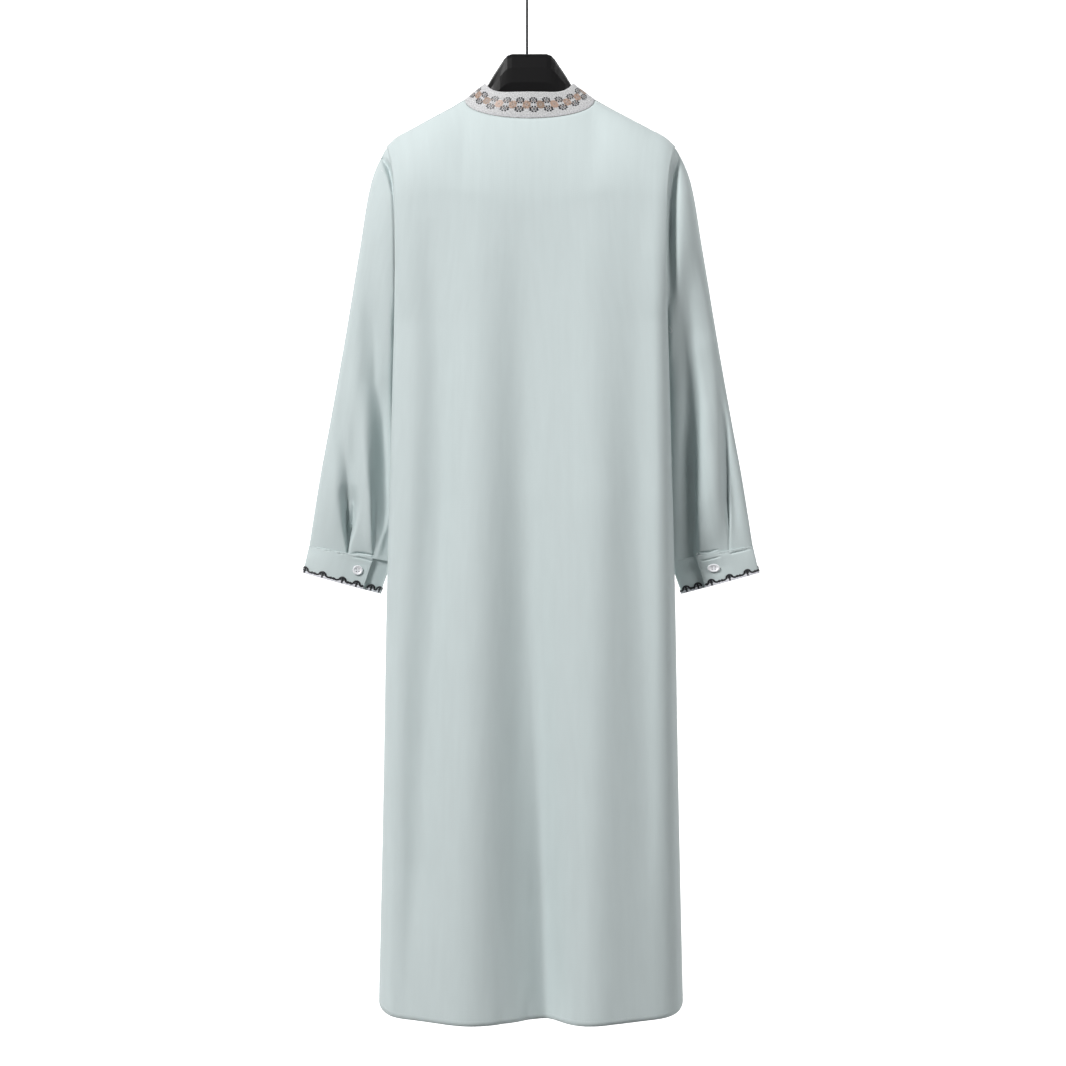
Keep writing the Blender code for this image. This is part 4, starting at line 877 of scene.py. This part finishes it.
# %% Cuff ribbons
TRIM_CLOTH, RIBBON_HEIGHT = 1.0, 4.8
cuff_ribbon = woven_cloth("cuff_ribbon", (0.72, 0.72, 0.76), 0.4, 0.1, 0.6, 0.1, 0.3, 500.0, 0.8)
trim_grids = {}
for hand, side in ((-1, "left"), (1, "right")):
    first = int(np.searchsorted(cuff_turns[hand], CUFF_OVERLAP_END[hand] - 1.0)) + 2
    trim_downs = np.linspace(1.0 - RIBBON_HEIGHT / CUFF_HEIGHT, 1.0, 9)
    grid = cuff_points(hand, cuff_turns[hand], trim_downs)
    lifted = grid + cuff_facing(grid) * ((CUFF_CLOTH + TRIM_CLOTH) / 2.0 + SEAM_GAP)
    trim_grids[side] = lifted[:, first:]
    cloth_piece(f"{side}_cuff_ribbon", trim_grids[side], cuff_ribbon, TRIM_CLOTH - 0.2,
                              f"{side}_cuff_trim")

# %% [markdown]
# ## Collar
# The collar is a low standing band covered with a woven ribbon. It rises from the neck seam, leans in
# towards the neck, and meets in front.

# %% Collar band
BAND_TOP_ACROSS, BAND_TOP_BACK_DEPTH, BAND_TOP_FRONT_DEPTH = 66.0, 37.0, 44.0
BAND_PEAK_Z, BAND_TOP_BACK_DROP, BAND_TOP_FRONT_DROP = -190.0, 19.0, 36.0
BAND_CLOTH = 2.4
BAND_END_GAP = 1.2


def band_points(neck_line, rows):
    """The middle of the collar band, from the neck seam up to its leaning upper edge."""
    turn = np.linspace(-math.pi / 2.0, 1.5 * math.pi, len(neck_line))
    front_amount = np.clip(-np.sin(turn), 0.0, 1.0)
    back_amount = np.clip(np.sin(turn), 0.0, 1.0)
    x = GARMENT_CENTRE + NECK_SHIFT - BAND_TOP_ACROSS * np.cos(turn)
    y = BAND_TOP_FRONT_DEPTH * front_amount - BAND_TOP_BACK_DEPTH * back_amount
    drop = BAND_TOP_FRONT_DROP * front_amount**1.4 + BAND_TOP_BACK_DROP * (1.0 - (1.0 - back_amount**2) ** 3)
    top_line = np.stack((x, y, BAND_PEAK_Z - drop), axis=-1)
    share = np.asarray(rows, float)[:, None, None]
    return neck_line[None] + (top_line - neck_line)[None] * share


to_middle = np.linspace(0.0, 1.0, 81) ** (1.0 / NECK_SPREAD)
NECK_COLUMNS = np.concatenate((0.25 + 0.25 * to_middle, 0.75 - 0.25 * to_middle[-2::-1]))
back_neck = panel_points(-1, NECK_COLUMNS, [2.0])[0]
front_neck = panel_points(1, NECK_COLUMNS, [2.0])[0]
neck_line = np.concatenate((front_neck[80:0:-1], back_neck, front_neck[-2:79:-1]))
band_grid = band_points(neck_line, np.linspace(0.01, 1.0, 25))
band_grid[:, 0, 0] -= BAND_END_GAP / 2.0
band_grid[:, -1, 0] += BAND_END_GAP / 2.0
collar_ribbon = woven_cloth("collar_ribbon", (0.655, 0.645, 0.71), 0.45, 0.12, 0.7, 0.1, 0.85, 620.0, 0.8)
collar = cloth_piece("collar_ribbon_band", band_grid, collar_ribbon, BAND_CLOTH - 0.3,
                     "collar_band")

# %% [markdown]
# ## Placket
# The front opens with a narrow buttoned strip. It is the front panel's own surface, raised by a layer of
# cloth.

# %% Placket
PLACKET_HALF = 1.0 / 28.0
PLACKET_TOP, PLACKET_BOTTOM = 1.985, 0.94
strip_rows = np.linspace(PLACKET_TOP, PLACKET_BOTTOM, 60)
strip = panel_points(1, np.linspace(0.5 - PLACKET_HALF, 0.5 + PLACKET_HALF, 13), strip_rows)
strip_facing = grid_normals(strip)
if strip_facing[..., 1].sum() < 0.0:
    strip_facing = -strip_facing
strip_points = strip + strip_facing * (CLOTH + SEAM_GAP)
placket = cloth_piece("placket_cloth", strip_points, robe_cloth, PANEL_CLOTH, "front_placket")
print("Placket from", round(strip_points[0, 6, 2]), "to", round(strip_points[-1, 6, 2]))

# %% [markdown]
# ## Embroidery
# Satin stitch lies on the cloth as small shining pads, highest along their middle. Each pad here is a real
# low relief: a diamond with a raised centre, or a band with a raised middle line. The motifs are drawn
# flat, in millimetres along and down the ribbon, and then laid on the ribbon's curved surface.

# %% Laying flat drawings on cloth
def lengths_along(points):
    """The distance walked along a line of points."""
    return np.concatenate(([0.0], np.cumsum(np.linalg.norm(np.diff(points, axis=0), axis=-1))))


def at_index(grid, row, column):
    """The grid's value at fractional rows and columns."""
    row = np.clip(row, 0.0, grid.shape[0] - 1.001)
    column = np.clip(column, 0.0, grid.shape[1] - 1.001)
    low_row, low_column = row.astype(int), column.astype(int)
    t, s = (row - low_row)[:, None], (column - low_column)[:, None]
    near = grid[low_row, low_column] * (1.0 - s) + grid[low_row, low_column + 1] * s
    far = grid[low_row + 1, low_column] * (1.0 - s) + grid[low_row + 1, low_column + 1] * s
    return near * (1.0 - t) + far * t


def lay_on(grid, facing, edge_row, along, inset, lift):
    """Points on the cloth: along its middle row, inset from its first or last row, and lifted off it."""
    walk = lengths_along(grid[grid.shape[0] // 2])
    column = np.interp(along, walk, np.arange(len(walk)))
    depth = np.linalg.norm(np.diff(grid, axis=0), axis=-1).sum(axis=0)
    depth_here = np.interp(column, np.arange(len(depth)), depth)
    share = inset / depth_here * (grid.shape[0] - 1)
    row = grid.shape[0] - 1 - share if edge_row else share
    return at_index(grid, row, column) + unit(at_index(facing, row, column)) * np.asarray(lift)[:, None]


class Drawing:
    """A flat drawing of stitched pads: points with a height, and the faces between them."""

    def __init__(self):
        self.points = []
        self.faces = []

    def pad(self, outline, centre, edge=0.05, rise=0.4):
        """A pad with a raised centre."""
        first = len(self.points)
        self.points += [(x, y, edge) for x, y in outline] + [(*centre, rise)]
        count = len(outline)
        self.faces += [(first + i, first + (i + 1) % count, first + count) for i in range(count)]

    def petal(self, x, y, turn, near, far, width, rise=0.4):
        """A diamond petal that points away from (x, y)."""
        out = (math.cos(turn), math.sin(turn))
        side = (-out[1], out[0])
        middle = near + (far - near) * 0.55
        outline = [(x + out[0] * near, y + out[1] * near),
                   (x + out[0] * middle - side[0] * width / 2.0, y + out[1] * middle - side[1] * width / 2.0),
                   (x + out[0] * far, y + out[1] * far),
                   (x + out[0] * middle + side[0] * width / 2.0, y + out[1] * middle + side[1] * width / 2.0)]
        self.pad(outline, (x + out[0] * middle, y + out[1] * middle), rise=rise)

    def band(self, line, width, rise=0.35):
        """A band along a line, with its width at each point."""
        line = np.array(line, float)
        widths = np.broadcast_to(np.array(width, float), len(line))
        side = unit(np.gradient(line, axis=0))[:, ::-1] * np.array((-1.0, 1.0))
        first = len(self.points)
        for (x, y), (across, up), wide in zip(line, side, widths):
            for step, height in ((-0.5, 0.05), (0.0, rise), (0.5, 0.05)):
                self.points.append((x + across * wide * step, y + up * wide * step, height))
        for i in range(len(line) - 1):
            for j in range(2):
                a = first + 3 * i + j
                self.faces.append((a, a + 1, a + 4, a + 3))

    def laid(self, name, grid, facing, edge_row, base, material):
        """Makes the drawing a piece on the cloth. base is how far the ribbon's face is from its grid."""
        flat = np.array(self.points)
        places = lay_on(grid, facing, edge_row, flat[:, 0], flat[:, 1], base + flat[:, 2])
        small_piece(name, places, self.faces, material)
        print(name, "has", len(self.faces), "faces")


bent_line = np.array([(0, 0), (3, 0), (3, 4)])
print("A line of 3 and 4 mm at a right angle is", lengths_along(bent_line)[-1], "mm long")

# %% [markdown]
# ## Threads
# Embroidery thread is a bundle of fine strands, with a soft shine along them. A very fine noise stands for
# the strands, in the colour and in the relief. The colours are those of the real trims: black, tan, brown,
# a greyish blue, white, and the robe's own grey green for its seams.

# %% Thread finishes
def thread_finish(name, colour, roughness=0.45):
    """Embroidery thread with a soft shine and fine strands."""
    material, tree, shader = new_material(name)
    shader.inputs["Roughness"].default_value = roughness
    shader.inputs["Sheen Weight"].default_value = 0.2
    place = node(tree, "ShaderNodeTexCoord")
    strands = node(tree, "ShaderNodeTexNoise", Scale=2200.0, Detail=2.0)
    tree.links.new(place.outputs["Object"], strands.inputs["Vector"])
    uneven_colour(tree, shader, strands.outputs["Fac"], colour, 0.28)
    fine_relief(tree, shader, strands.outputs["Fac"], 0.4, 0.08)
    return material


black_thread = thread_finish("black_thread", (0.018, 0.018, 0.022))
tan_thread = thread_finish("tan_thread", (0.43, 0.29, 0.225))
brown_thread = thread_finish("brown_thread", (0.29, 0.205, 0.155))
robe_thread = thread_finish("robe_thread", (0.62, 0.69, 0.69), 0.5)
white_thread = thread_finish("white_thread", (0.84, 0.84, 0.86), 0.5)
blue_thread = thread_finish("blue_thread", (0.42, 0.45, 0.58), 0.5)
print("Six threads")

# %% [markdown]
# ## Collar motifs
# Rosettes in tan and brown stand in a row along the ribbon, with a pair of small black stars between each
# two. Both are everyday ornaments: eight petals round an eye, and eight points round an open middle. Each
# is drawn by a short loop, and the row is set out from the middle of the back, as a maker would.

# %% Collar motifs
MOTIF_PITCH, MOTIF_ROW, MOTIF_SHIFT = 20.6, 19.4, -4.6
STAR_OFFSET, STAR_REACH, ROSETTE_REACH = 6.5, 6.4, 6.6
STAR_WIDE, STAR_TALL = 1.18, 0.82
band_facing = grid_normals(band_grid)
away_from_neck = (band_grid - band_grid.mean(axis=(0, 1))) * np.array((1.0, 1.0, 0.0))
if (band_facing * away_from_neck).sum() < 0.0:
    band_facing = -band_facing
band_length = lengths_along(band_grid[band_grid.shape[0] // 2])[-1]
black_drawing, tan_drawing, brown_drawing = Drawing(), Drawing(), Drawing()


def eight_point_star(drawing, x, y, reach):
    """An outlined star: eight short pads round an open middle, with a small diamond inside."""
    for step in range(8):
        turn = math.pi / 4.0 * step + math.pi / 8.0
        out = np.array((math.cos(turn) * STAR_WIDE, math.sin(turn) * STAR_TALL))
        length = float(np.linalg.norm(out)) * reach
        drawing.petal(x, y, math.atan2(out[1], out[0]), length * 0.36, length, reach * 0.60, 0.3)
    ring = [(x + math.cos(t) * reach * 0.3, y + math.sin(t) * reach * 0.24)
            for t in np.linspace(0.0, 2.0 * math.pi, 5)]
    drawing.band(ring, reach * 0.2, 0.25)


def rosette(light, dark, x, y, reach):
    """A filled flower of eight blunt petals round a dark eye."""
    for step in range(8):
        petal_drawing = light if step % 2 else dark
        turn = math.pi / 4.0 * step + math.pi / 8.0
        outline = [(x + math.cos(turn + bend) * far * reach, y + math.sin(turn + bend) * far * reach)
                   for bend, far in ((0.0, 0.12), (-0.42, 0.72), (-0.24, 0.98), (0.24, 0.98), (0.42, 0.72))]
        centre = (x + math.cos(turn) * 0.62 * reach, y + math.sin(turn) * 0.62 * reach)
        petal_drawing.pad(outline, centre)
    eye = [(x + math.cos(t) * reach * 0.17, y + math.sin(t) * reach * 0.17) for t in np.linspace(0.0, 5.5, 7)]
    brown_drawing.pad(eye, (x, y), 0.35, 0.5)


def sprig(drawing, x, y, turn, near, far):
    """A thin stem with a pair of leaves at its end."""
    out = np.array((math.cos(turn), math.sin(turn)))
    start, end = np.array((x, y)) + out * near, np.array((x, y)) + out * far
    drawing.band([start, (start + end) / 2.0, end], 0.45, 0.25)
    for bend in (-0.7, 0.7):
        drawing.petal(*(start + (end - start) * 0.72), turn + bend, 0.0, 2.0, 0.7, 0.25)


SHADES = ((tan_drawing, tan_drawing), (brown_drawing, tan_drawing), (tan_drawing, brown_drawing),
          (brown_drawing, brown_drawing))
count = int(band_length // MOTIF_PITCH)
first_motif = band_length / 2.0 - (count // 2) * MOTIF_PITCH + MOTIF_SHIFT
for place in range(count):
    x = first_motif + place * MOTIF_PITCH
    if 6.0 < x < band_length - 6.0:
        light, dark = SHADES[place % len(SHADES)]
        rosette(light, dark, x, MOTIF_ROW, ROSETTE_REACH)
        for turn in (0.62, math.pi - 0.62, math.pi + 0.62, -0.62):
            sprig(tan_drawing, x, MOTIF_ROW, turn, 5.0, 9.4)
    between = x + MOTIF_PITCH / 2.0
    if between < band_length - 7.0:
        for side in (-1.0, 1.0):
            eight_point_star(black_drawing, between, MOTIF_ROW + side * STAR_OFFSET, STAR_REACH)
band_face = (BAND_CLOTH - 0.3) / 2.0
black_drawing.laid("collar_stars", band_grid, band_facing, True, band_face, black_thread)
tan_drawing.laid("collar_rosettes", band_grid, band_facing, True, band_face, tan_thread)
brown_drawing.laid("collar_rosettes_dark", band_grid, band_facing, True, band_face, brown_thread)

# %% [markdown]
# ## Cuff motifs
# A scroll runs round each cuff: a small arch on a stem, a link that dips, and the next arch. Hand work is
# never quite even, so the arches that show have places of their own, and the rest follow at one pitch. Each
# arch draws half of the link on either side of it, so that any pitch joins up.

# %% Cuff motifs
VINE_PITCH, VINE_HEIGHT, VINE_BAND, VINE_STEM = 28.5, 1.08, 2.7, 2.8
# the arches that show, measured from the buttoned end
VINE_FIRST = {-1: (12.0, 34.0, 65.0), 1: (11.0, 39.0, 67.5)}
# arches beside the lap, measured from where the lower end comes out
VINE_UNDER = {-1: (7.0,), 1: (6.0, 24.0)}


def curve(points, count):
    """A smooth line of so many points through a few places."""
    points = np.array(points, float)
    where = np.arange(len(points))
    fine = np.linspace(0.0, len(points) - 1.0, count)
    return np.stack([read({"at": where, "value": values}, "value", "at", fine) for values in points.T], axis=-1)


def vine(drawing, x, before, after):
    """An arch on its stem, and half of the link to the next one on each side."""

    def up(points):
        return curve([(x + across, height * VINE_HEIGHT) for across, height in points], 6 * len(points) - 5)

    arch = [(-5.0, 4.6), (-4.2, 7.0), (-2.2, 8.5), (0.0, 9.0), (2.2, 8.5), (4.2, 7.0), (5.0, 4.6)]
    drawing.band(up(arch), VINE_BAND)
    drawing.band(up([(0.0, 8.8), (0.1, 5.6), (0.0, 1.0)]), VINE_STEM)
    for side, reach in ((-1.0, before / 2.0), (1.0, after / 2.0)):
        drawing.band(up([(side * 0.4, 4.2), (side * 1.8, 4.6), (side * 2.7, 5.8)]), 1.1)
        drawing.band(up([(side * 4.8, 5.0), (side * (4.8 + (reach - 4.8) * 0.4), 3.6),
                         (side * (4.8 + (reach - 4.8) * 0.75), 4.4),
                         (side * (reach + 0.3), 3.8)]), VINE_BAND)
        if reach > 7.0:
            turn = -0.25 * side + (0.0 if side > 0 else math.pi)
            drawing.petal(x + side * (reach - 5.2), 5.2, turn, 0.0, 5.6, 4.6)


for hand, side in ((-1, "left"), (1, "right")):
    grid = cuff_points(hand, cuff_turns[hand], np.linspace(0.6, 1.0, 21))
    facing = cuff_facing(grid)
    walk = lengths_along(grid[grid.shape[0] // 2])
    start = float(np.interp(CUFF_OVERLAP_END[hand] - 1.0 + 0.01, cuff_turns[hand], walk))
    places = [walk[-1] - away for away in VINE_FIRST[hand]]
    while places[-1] - VINE_PITCH > start + VINE_UNDER[hand][-1] + 12.0:
        places.append(places[-1] - VINE_PITCH)
    places = sorted(places + [start + away for away in VINE_UNDER[hand]])
    drawing = Drawing()
    for index, place in enumerate(places):
        before = place - places[index - 1] if index else 2.0 * (place - start - 1.0)
        after = places[index + 1] - place if index + 1 < len(places) else 2.0 * (walk[-1] - place - 1.0)
        vine(drawing, place, before, after)
    ribbon_face = CUFF_CLOTH / 2.0 + SEAM_GAP + TRIM_CLOTH
    drawing.laid(f"{side}_cuff_vine", grid, facing, True, ribbon_face, black_thread)

# %% [markdown]
# ## Stitching
# A stitch is a short thread that dips into the cloth at both ends. One small pointed pad for each makes a
# seam that catches the light as a real one does.

# %% Stitches
def sewn_line(name, points, facing, pitch, material, radius=0.28, share=0.72):
    """A row of stitches along a line of points."""
    walk = lengths_along(points)
    count = max(int(walk[-1] / pitch), 1)
    starts = (np.arange(count) + 0.5 - share / 2.0) * walk[-1] / count
    ends = starts + share * walk[-1] / count

    def at(distance, values):
        return np.stack([np.interp(distance, walk, values[:, axis]) for axis in range(3)], axis=-1)

    first, last = at(starts, points), at(ends, points)
    middle = (first + last) / 2.0
    out = unit(at((starts + ends) / 2.0, facing))
    across = unit(np.cross(last - first, out))
    corners = np.stack((first, middle + across * radius, middle + out * radius, middle - across * radius,
                        middle - out * radius, last), axis=1)
    faces = []
    for stitch in range(count):
        a = stitch * 6
        for i in range(4):
            one, two = a + 1 + i, a + 1 + (i + 1) % 4
            faces += [(a, one, two), (a + 5, two, one)]
    small_piece(name, corners.reshape(-1, 3), faces, material)
    print(name, "has", count, "stitches")


def edge_line(grid, facing, edge_row, inset, lift, start=0.0, end=1.0, samples=400):
    """A line that runs along the cloth's first or last row, inset from it."""
    walk = lengths_along(grid[grid.shape[0] // 2])[-1]
    along = np.linspace(start * walk, end * walk, samples)
    insets = np.full(samples, float(inset))
    line = lay_on(grid, facing, edge_row, along, insets, np.full(samples, float(lift)))
    face = lay_on(grid, facing, edge_row, along, insets, np.full(samples, lift + 1.0))
    return line, face - line


STITCH, FINE_STITCH, COLLAR_STITCH = 2.4, 2.0, 2.2
HEM_INSET, CUFF_INSETS = 7.0, (1.4, 5.2)
COLLAR_ROWS = ((False, 2.6, blue_thread), (True, 1.6, white_thread))
collar_hand = np.random.default_rng(7)
back_facing, front_facing = grid_normals(back_points), grid_normals(front_points)
for name, grid, facing in (("back", back_points, back_facing), ("front", front_points, front_facing)):
    line, face = edge_line(grid, facing, False, HEM_INSET, PANEL_CLOTH / 2.0 + 0.05, 0.01, 0.99, 900)
    sewn_line(f"{name}_hem_stitches", line, face, STITCH, robe_thread)
for hand, side in ((-1, "left"), (1, "right")):
    grid = cuff_grids[side]
    facing = cuff_facing(grid)
    for number, inset in enumerate(CUFF_INSETS, start=1):
        line, face = edge_line(grid, facing, False, inset, CUFF_CLOTH / 2.0)
        sewn_line(f"{side}_cuff_stitches_{number}", line, face, FINE_STITCH, robe_thread)
    overlap, face = grid[1:-3, -4], facing[1:-3, -4]
    sewn_line(f"{side}_cuff_end_stitches", overlap + face * CUFF_CLOTH / 2.0, face, FINE_STITCH, robe_thread)
for number, (edge_row, inset, thread) in enumerate(COLLAR_ROWS, start=1):
    line, face = edge_line(band_grid, band_facing, edge_row, inset, band_face, 0.005, 0.995)
    wander = np.interp(np.arange(len(line)), np.arange(0, len(line), 25), collar_hand.normal(0.0, 0.5, 16))
    line[:, 2] += wander if thread is blue_thread else 0.0
    sewn_line(f"collar_stitches_{number}", line, face, COLLAR_STITCH, thread)
for number, column in enumerate((1, -2), start=1):
    line = strip_points[:, column] + strip_facing[:, column] * PANEL_CLOTH / 2.0
    sewn_line(f"placket_stitches_{number}", line, strip_facing[:, column], STITCH, robe_thread)

# %% [markdown]
# ## Loose thread ends
# Three ends of thread stick out where a seam was closed: under an arm, at a shoulder and beside a cuff.
# Each is a thin tube along a smooth line through a few places.

# %% Loose thread ends
END_RADIUS, END_SIDES = 0.35, 6
LOOSE_THREADS = {
    # where each of its points is: X, Y, Z
    "underarm_thread": ((212.0, -24.0, -556.0), (213.5, -31.0, -559.0), (215.5, -33.0, -563.0),
                        (213.5, -33.0, -566.0), (211.0, -31.0, -563.5)),
    "shoulder_thread": ((-217.0, -20.0, -322.0), (-216.0, -24.0, -324.0), (-214.5, -24.0, -326.5)),
    "cuff_thread": ((256.5, 10.0, -894.0), (254.5, 3.0, -896.0), (257.5, 1.0, -897.5),
                    (262.0, 4.0, -897.0)),
}
for name, stops in LOOSE_THREADS.items():
    route = curve(stops, 6 * len(stops))
    forward = unit(np.gradient(route, axis=0))
    side = unit(np.cross(forward, (0.3, 1.0, 0.2)))
    above = np.cross(side, forward)
    lines = np.concatenate([route + (math.cos(t) * side + math.sin(t) * above) * END_RADIUS
                            for t in np.linspace(0.0, 2.0 * math.pi, END_SIDES + 1)[:-1]])
    count = len(route)
    around = []
    for i in range(END_SIDES):
        here, following = count * i, count * ((i + 1) % END_SIDES)
        around += [(here + j, here + j + 1, following + j + 1, following + j) for j in range(count - 1)]
    small_piece(name, lines, around, white_thread)
    print(name, "is", round(float(lengths_along(route)[-1]), 1), "mm long")

# %% [markdown]

# %% [markdown]
# ## Hard pieces
# The hanger and its hook keep their solids and only need a finish: matt black plastic with a fine moulded
# grain, and black lacquered wire. The grain is a fine noise that also breaks up the gloss. The buttons'
# pearly white is mixed here too, because it is made the same way.

# %% Plastic, lacquer and button finishes
def hard_finish(name, colour, roughness, grain, depth, metallic=0.0, shine=0.5):
    """A hard surface with a fine moulded grain."""
    material, tree, shader = new_material(name)
    shader.inputs["Metallic"].default_value = metallic
    shader.inputs["Specular IOR Level"].default_value = shine
    place = node(tree, "ShaderNodeTexCoord")
    speckle = node(tree, "ShaderNodeTexNoise", Scale=grain, Detail=4.0)
    tree.links.new(place.outputs["Object"], speckle.inputs["Vector"])
    rough = node(tree, "ShaderNodeMapRange", To_Min=roughness * 0.85, To_Max=roughness * 1.15)
    tree.links.new(speckle.outputs["Fac"], rough.inputs["Value"])
    tree.links.new(rough.outputs["Result"], shader.inputs["Roughness"])
    uneven_colour(tree, shader, speckle.outputs["Fac"], colour, 0.15)
    fine_relief(tree, shader, speckle.outputs["Fac"], 0.2, depth)
    return material


hanger_plastic = hard_finish("hanger_plastic", (0.0045, 0.0042, 0.0046), 0.42, 900.0, 0.05, shine=0.22)
hook_lacquer = hard_finish("hook_lacquer", (0.012, 0.012, 0.014), 0.35, 1200.0, 0.02, 0.6)
button_pearl = hard_finish("button_pearl", (0.86, 0.86, 0.90), 0.28, 400.0, 0.02)


def refinish(name, material):
    """Gives a solid that stays its own finish."""
    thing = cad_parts[name]
    thing.data.materials.clear()
    thing.data.materials.append(material)
    print(name, "is now", material.name)


refinish("hanger_body", hanger_plastic)
refinish("hanger_hook", hook_lacquer)

# %% [markdown]
# ## Buttons
# A shirt button is a turned disc: a flat well, a rounded rim and four holes. It could be cut with booleans,
# but a ring of points for each step of its section is simpler and stays clean. The holes are small dark
# discs on the floor of the well. A button leans as its solid does, so its frame is read from the solid's
# own points. The cuff buttons sit a little higher, on the raised cloth, and show as ovals where the cuff
# turns.

# %% Buttons
BUTTON_SIDES = 48
# how far out of the middle, and how high, in shares of the button's radius and thickness
BUTTON_SECTION = ((0.0, 0.50), (0.40, 0.50), (0.56, 0.54), (0.68, 0.86), (0.78, 1.0), (0.88, 0.98),
                  (0.96, 0.80), (1.0, 0.50), (0.96, 0.22), (0.84, 0.0), (0.0, 0.0))
WELL, HOLE_PLACE, HOLE_RADIUS, HOLE_LIFT = 0.50, 1.75, 0.8, 0.04
hole_shade = thread_finish("hole_shade", (0.10, 0.10, 0.13), 0.7)


def button(name, out, wide=1.0, tall=1.0, lift=0.0):
    """A dished button with a rim and four holes, where its solid is. out is the way it faces along Y."""
    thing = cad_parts[name]
    spots = np.array([thing.matrix_world @ corner.co for corner in thing.data.vertices]) / MM
    centre = spots.mean(axis=0)
    facing = np.linalg.svd(spots - centre)[2][2]
    facing = facing * np.sign(facing[1] * out)
    spots, centre = spots + facing * lift, centre + facing * lift
    right = unit(np.array((1.0, 0.0, 0.0)) - facing * facing[0])
    up = np.cross(right, facing)
    heights = (spots - centre) @ facing
    radius = np.abs((spots - centre) @ right).max()
    turns = np.linspace(0.0, 2.0 * math.pi, BUTTON_SIDES, endpoint=False)
    round_edge = np.cos(turns)[:, None] * right * wide + np.sin(turns)[:, None] * up * tall
    base, thickness = heights.min(), heights.max() - heights.min()
    points = [centre + round_edge * max(far, 0.001) * radius + facing * (base + thickness * high)
              for far, high in BUTTON_SECTION]
    faces = []
    for ring in range(len(BUTTON_SECTION) - 1):
        low, high = BUTTON_SIDES * ring, BUTTON_SIDES * (ring + 1)
        for i in range(BUTTON_SIDES):
            following = (i + 1) % BUTTON_SIDES
            faces.append((low + i, low + following, high + following, high + i))
    piece = small_piece(f"{name}_dressed", np.concatenate(points), faces, button_pearl)
    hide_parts(name)
    level = base + thickness * WELL + HOLE_LIFT
    holes, hole_faces = [], []
    for across, high in ((-1, -1), (1, -1), (1, 1), (-1, 1)):
        middle = centre + right * across * HOLE_PLACE * wide + up * high * HOLE_PLACE * tall + facing * level
        first = len(holes)
        holes += [middle + (right * math.cos(t) + up * math.sin(t)) * HOLE_RADIUS for t in turns[::4]]
        hole_faces.append(tuple(range(first, len(holes))))
    small_piece(f"{name}_holes", holes, hole_faces, hole_shade)
    print(name, "radius", round(float(radius), 2), "at", [round(float(v), 1) for v in centre])


for number in (1, 2, 3):
    button(f"front_button_{number}", 1.0)
button("left_cuff_button", -1.0, 1.1, 1.05, 0.8)
button("right_cuff_button", -1.0, 1.35, 0.9, 1.9)
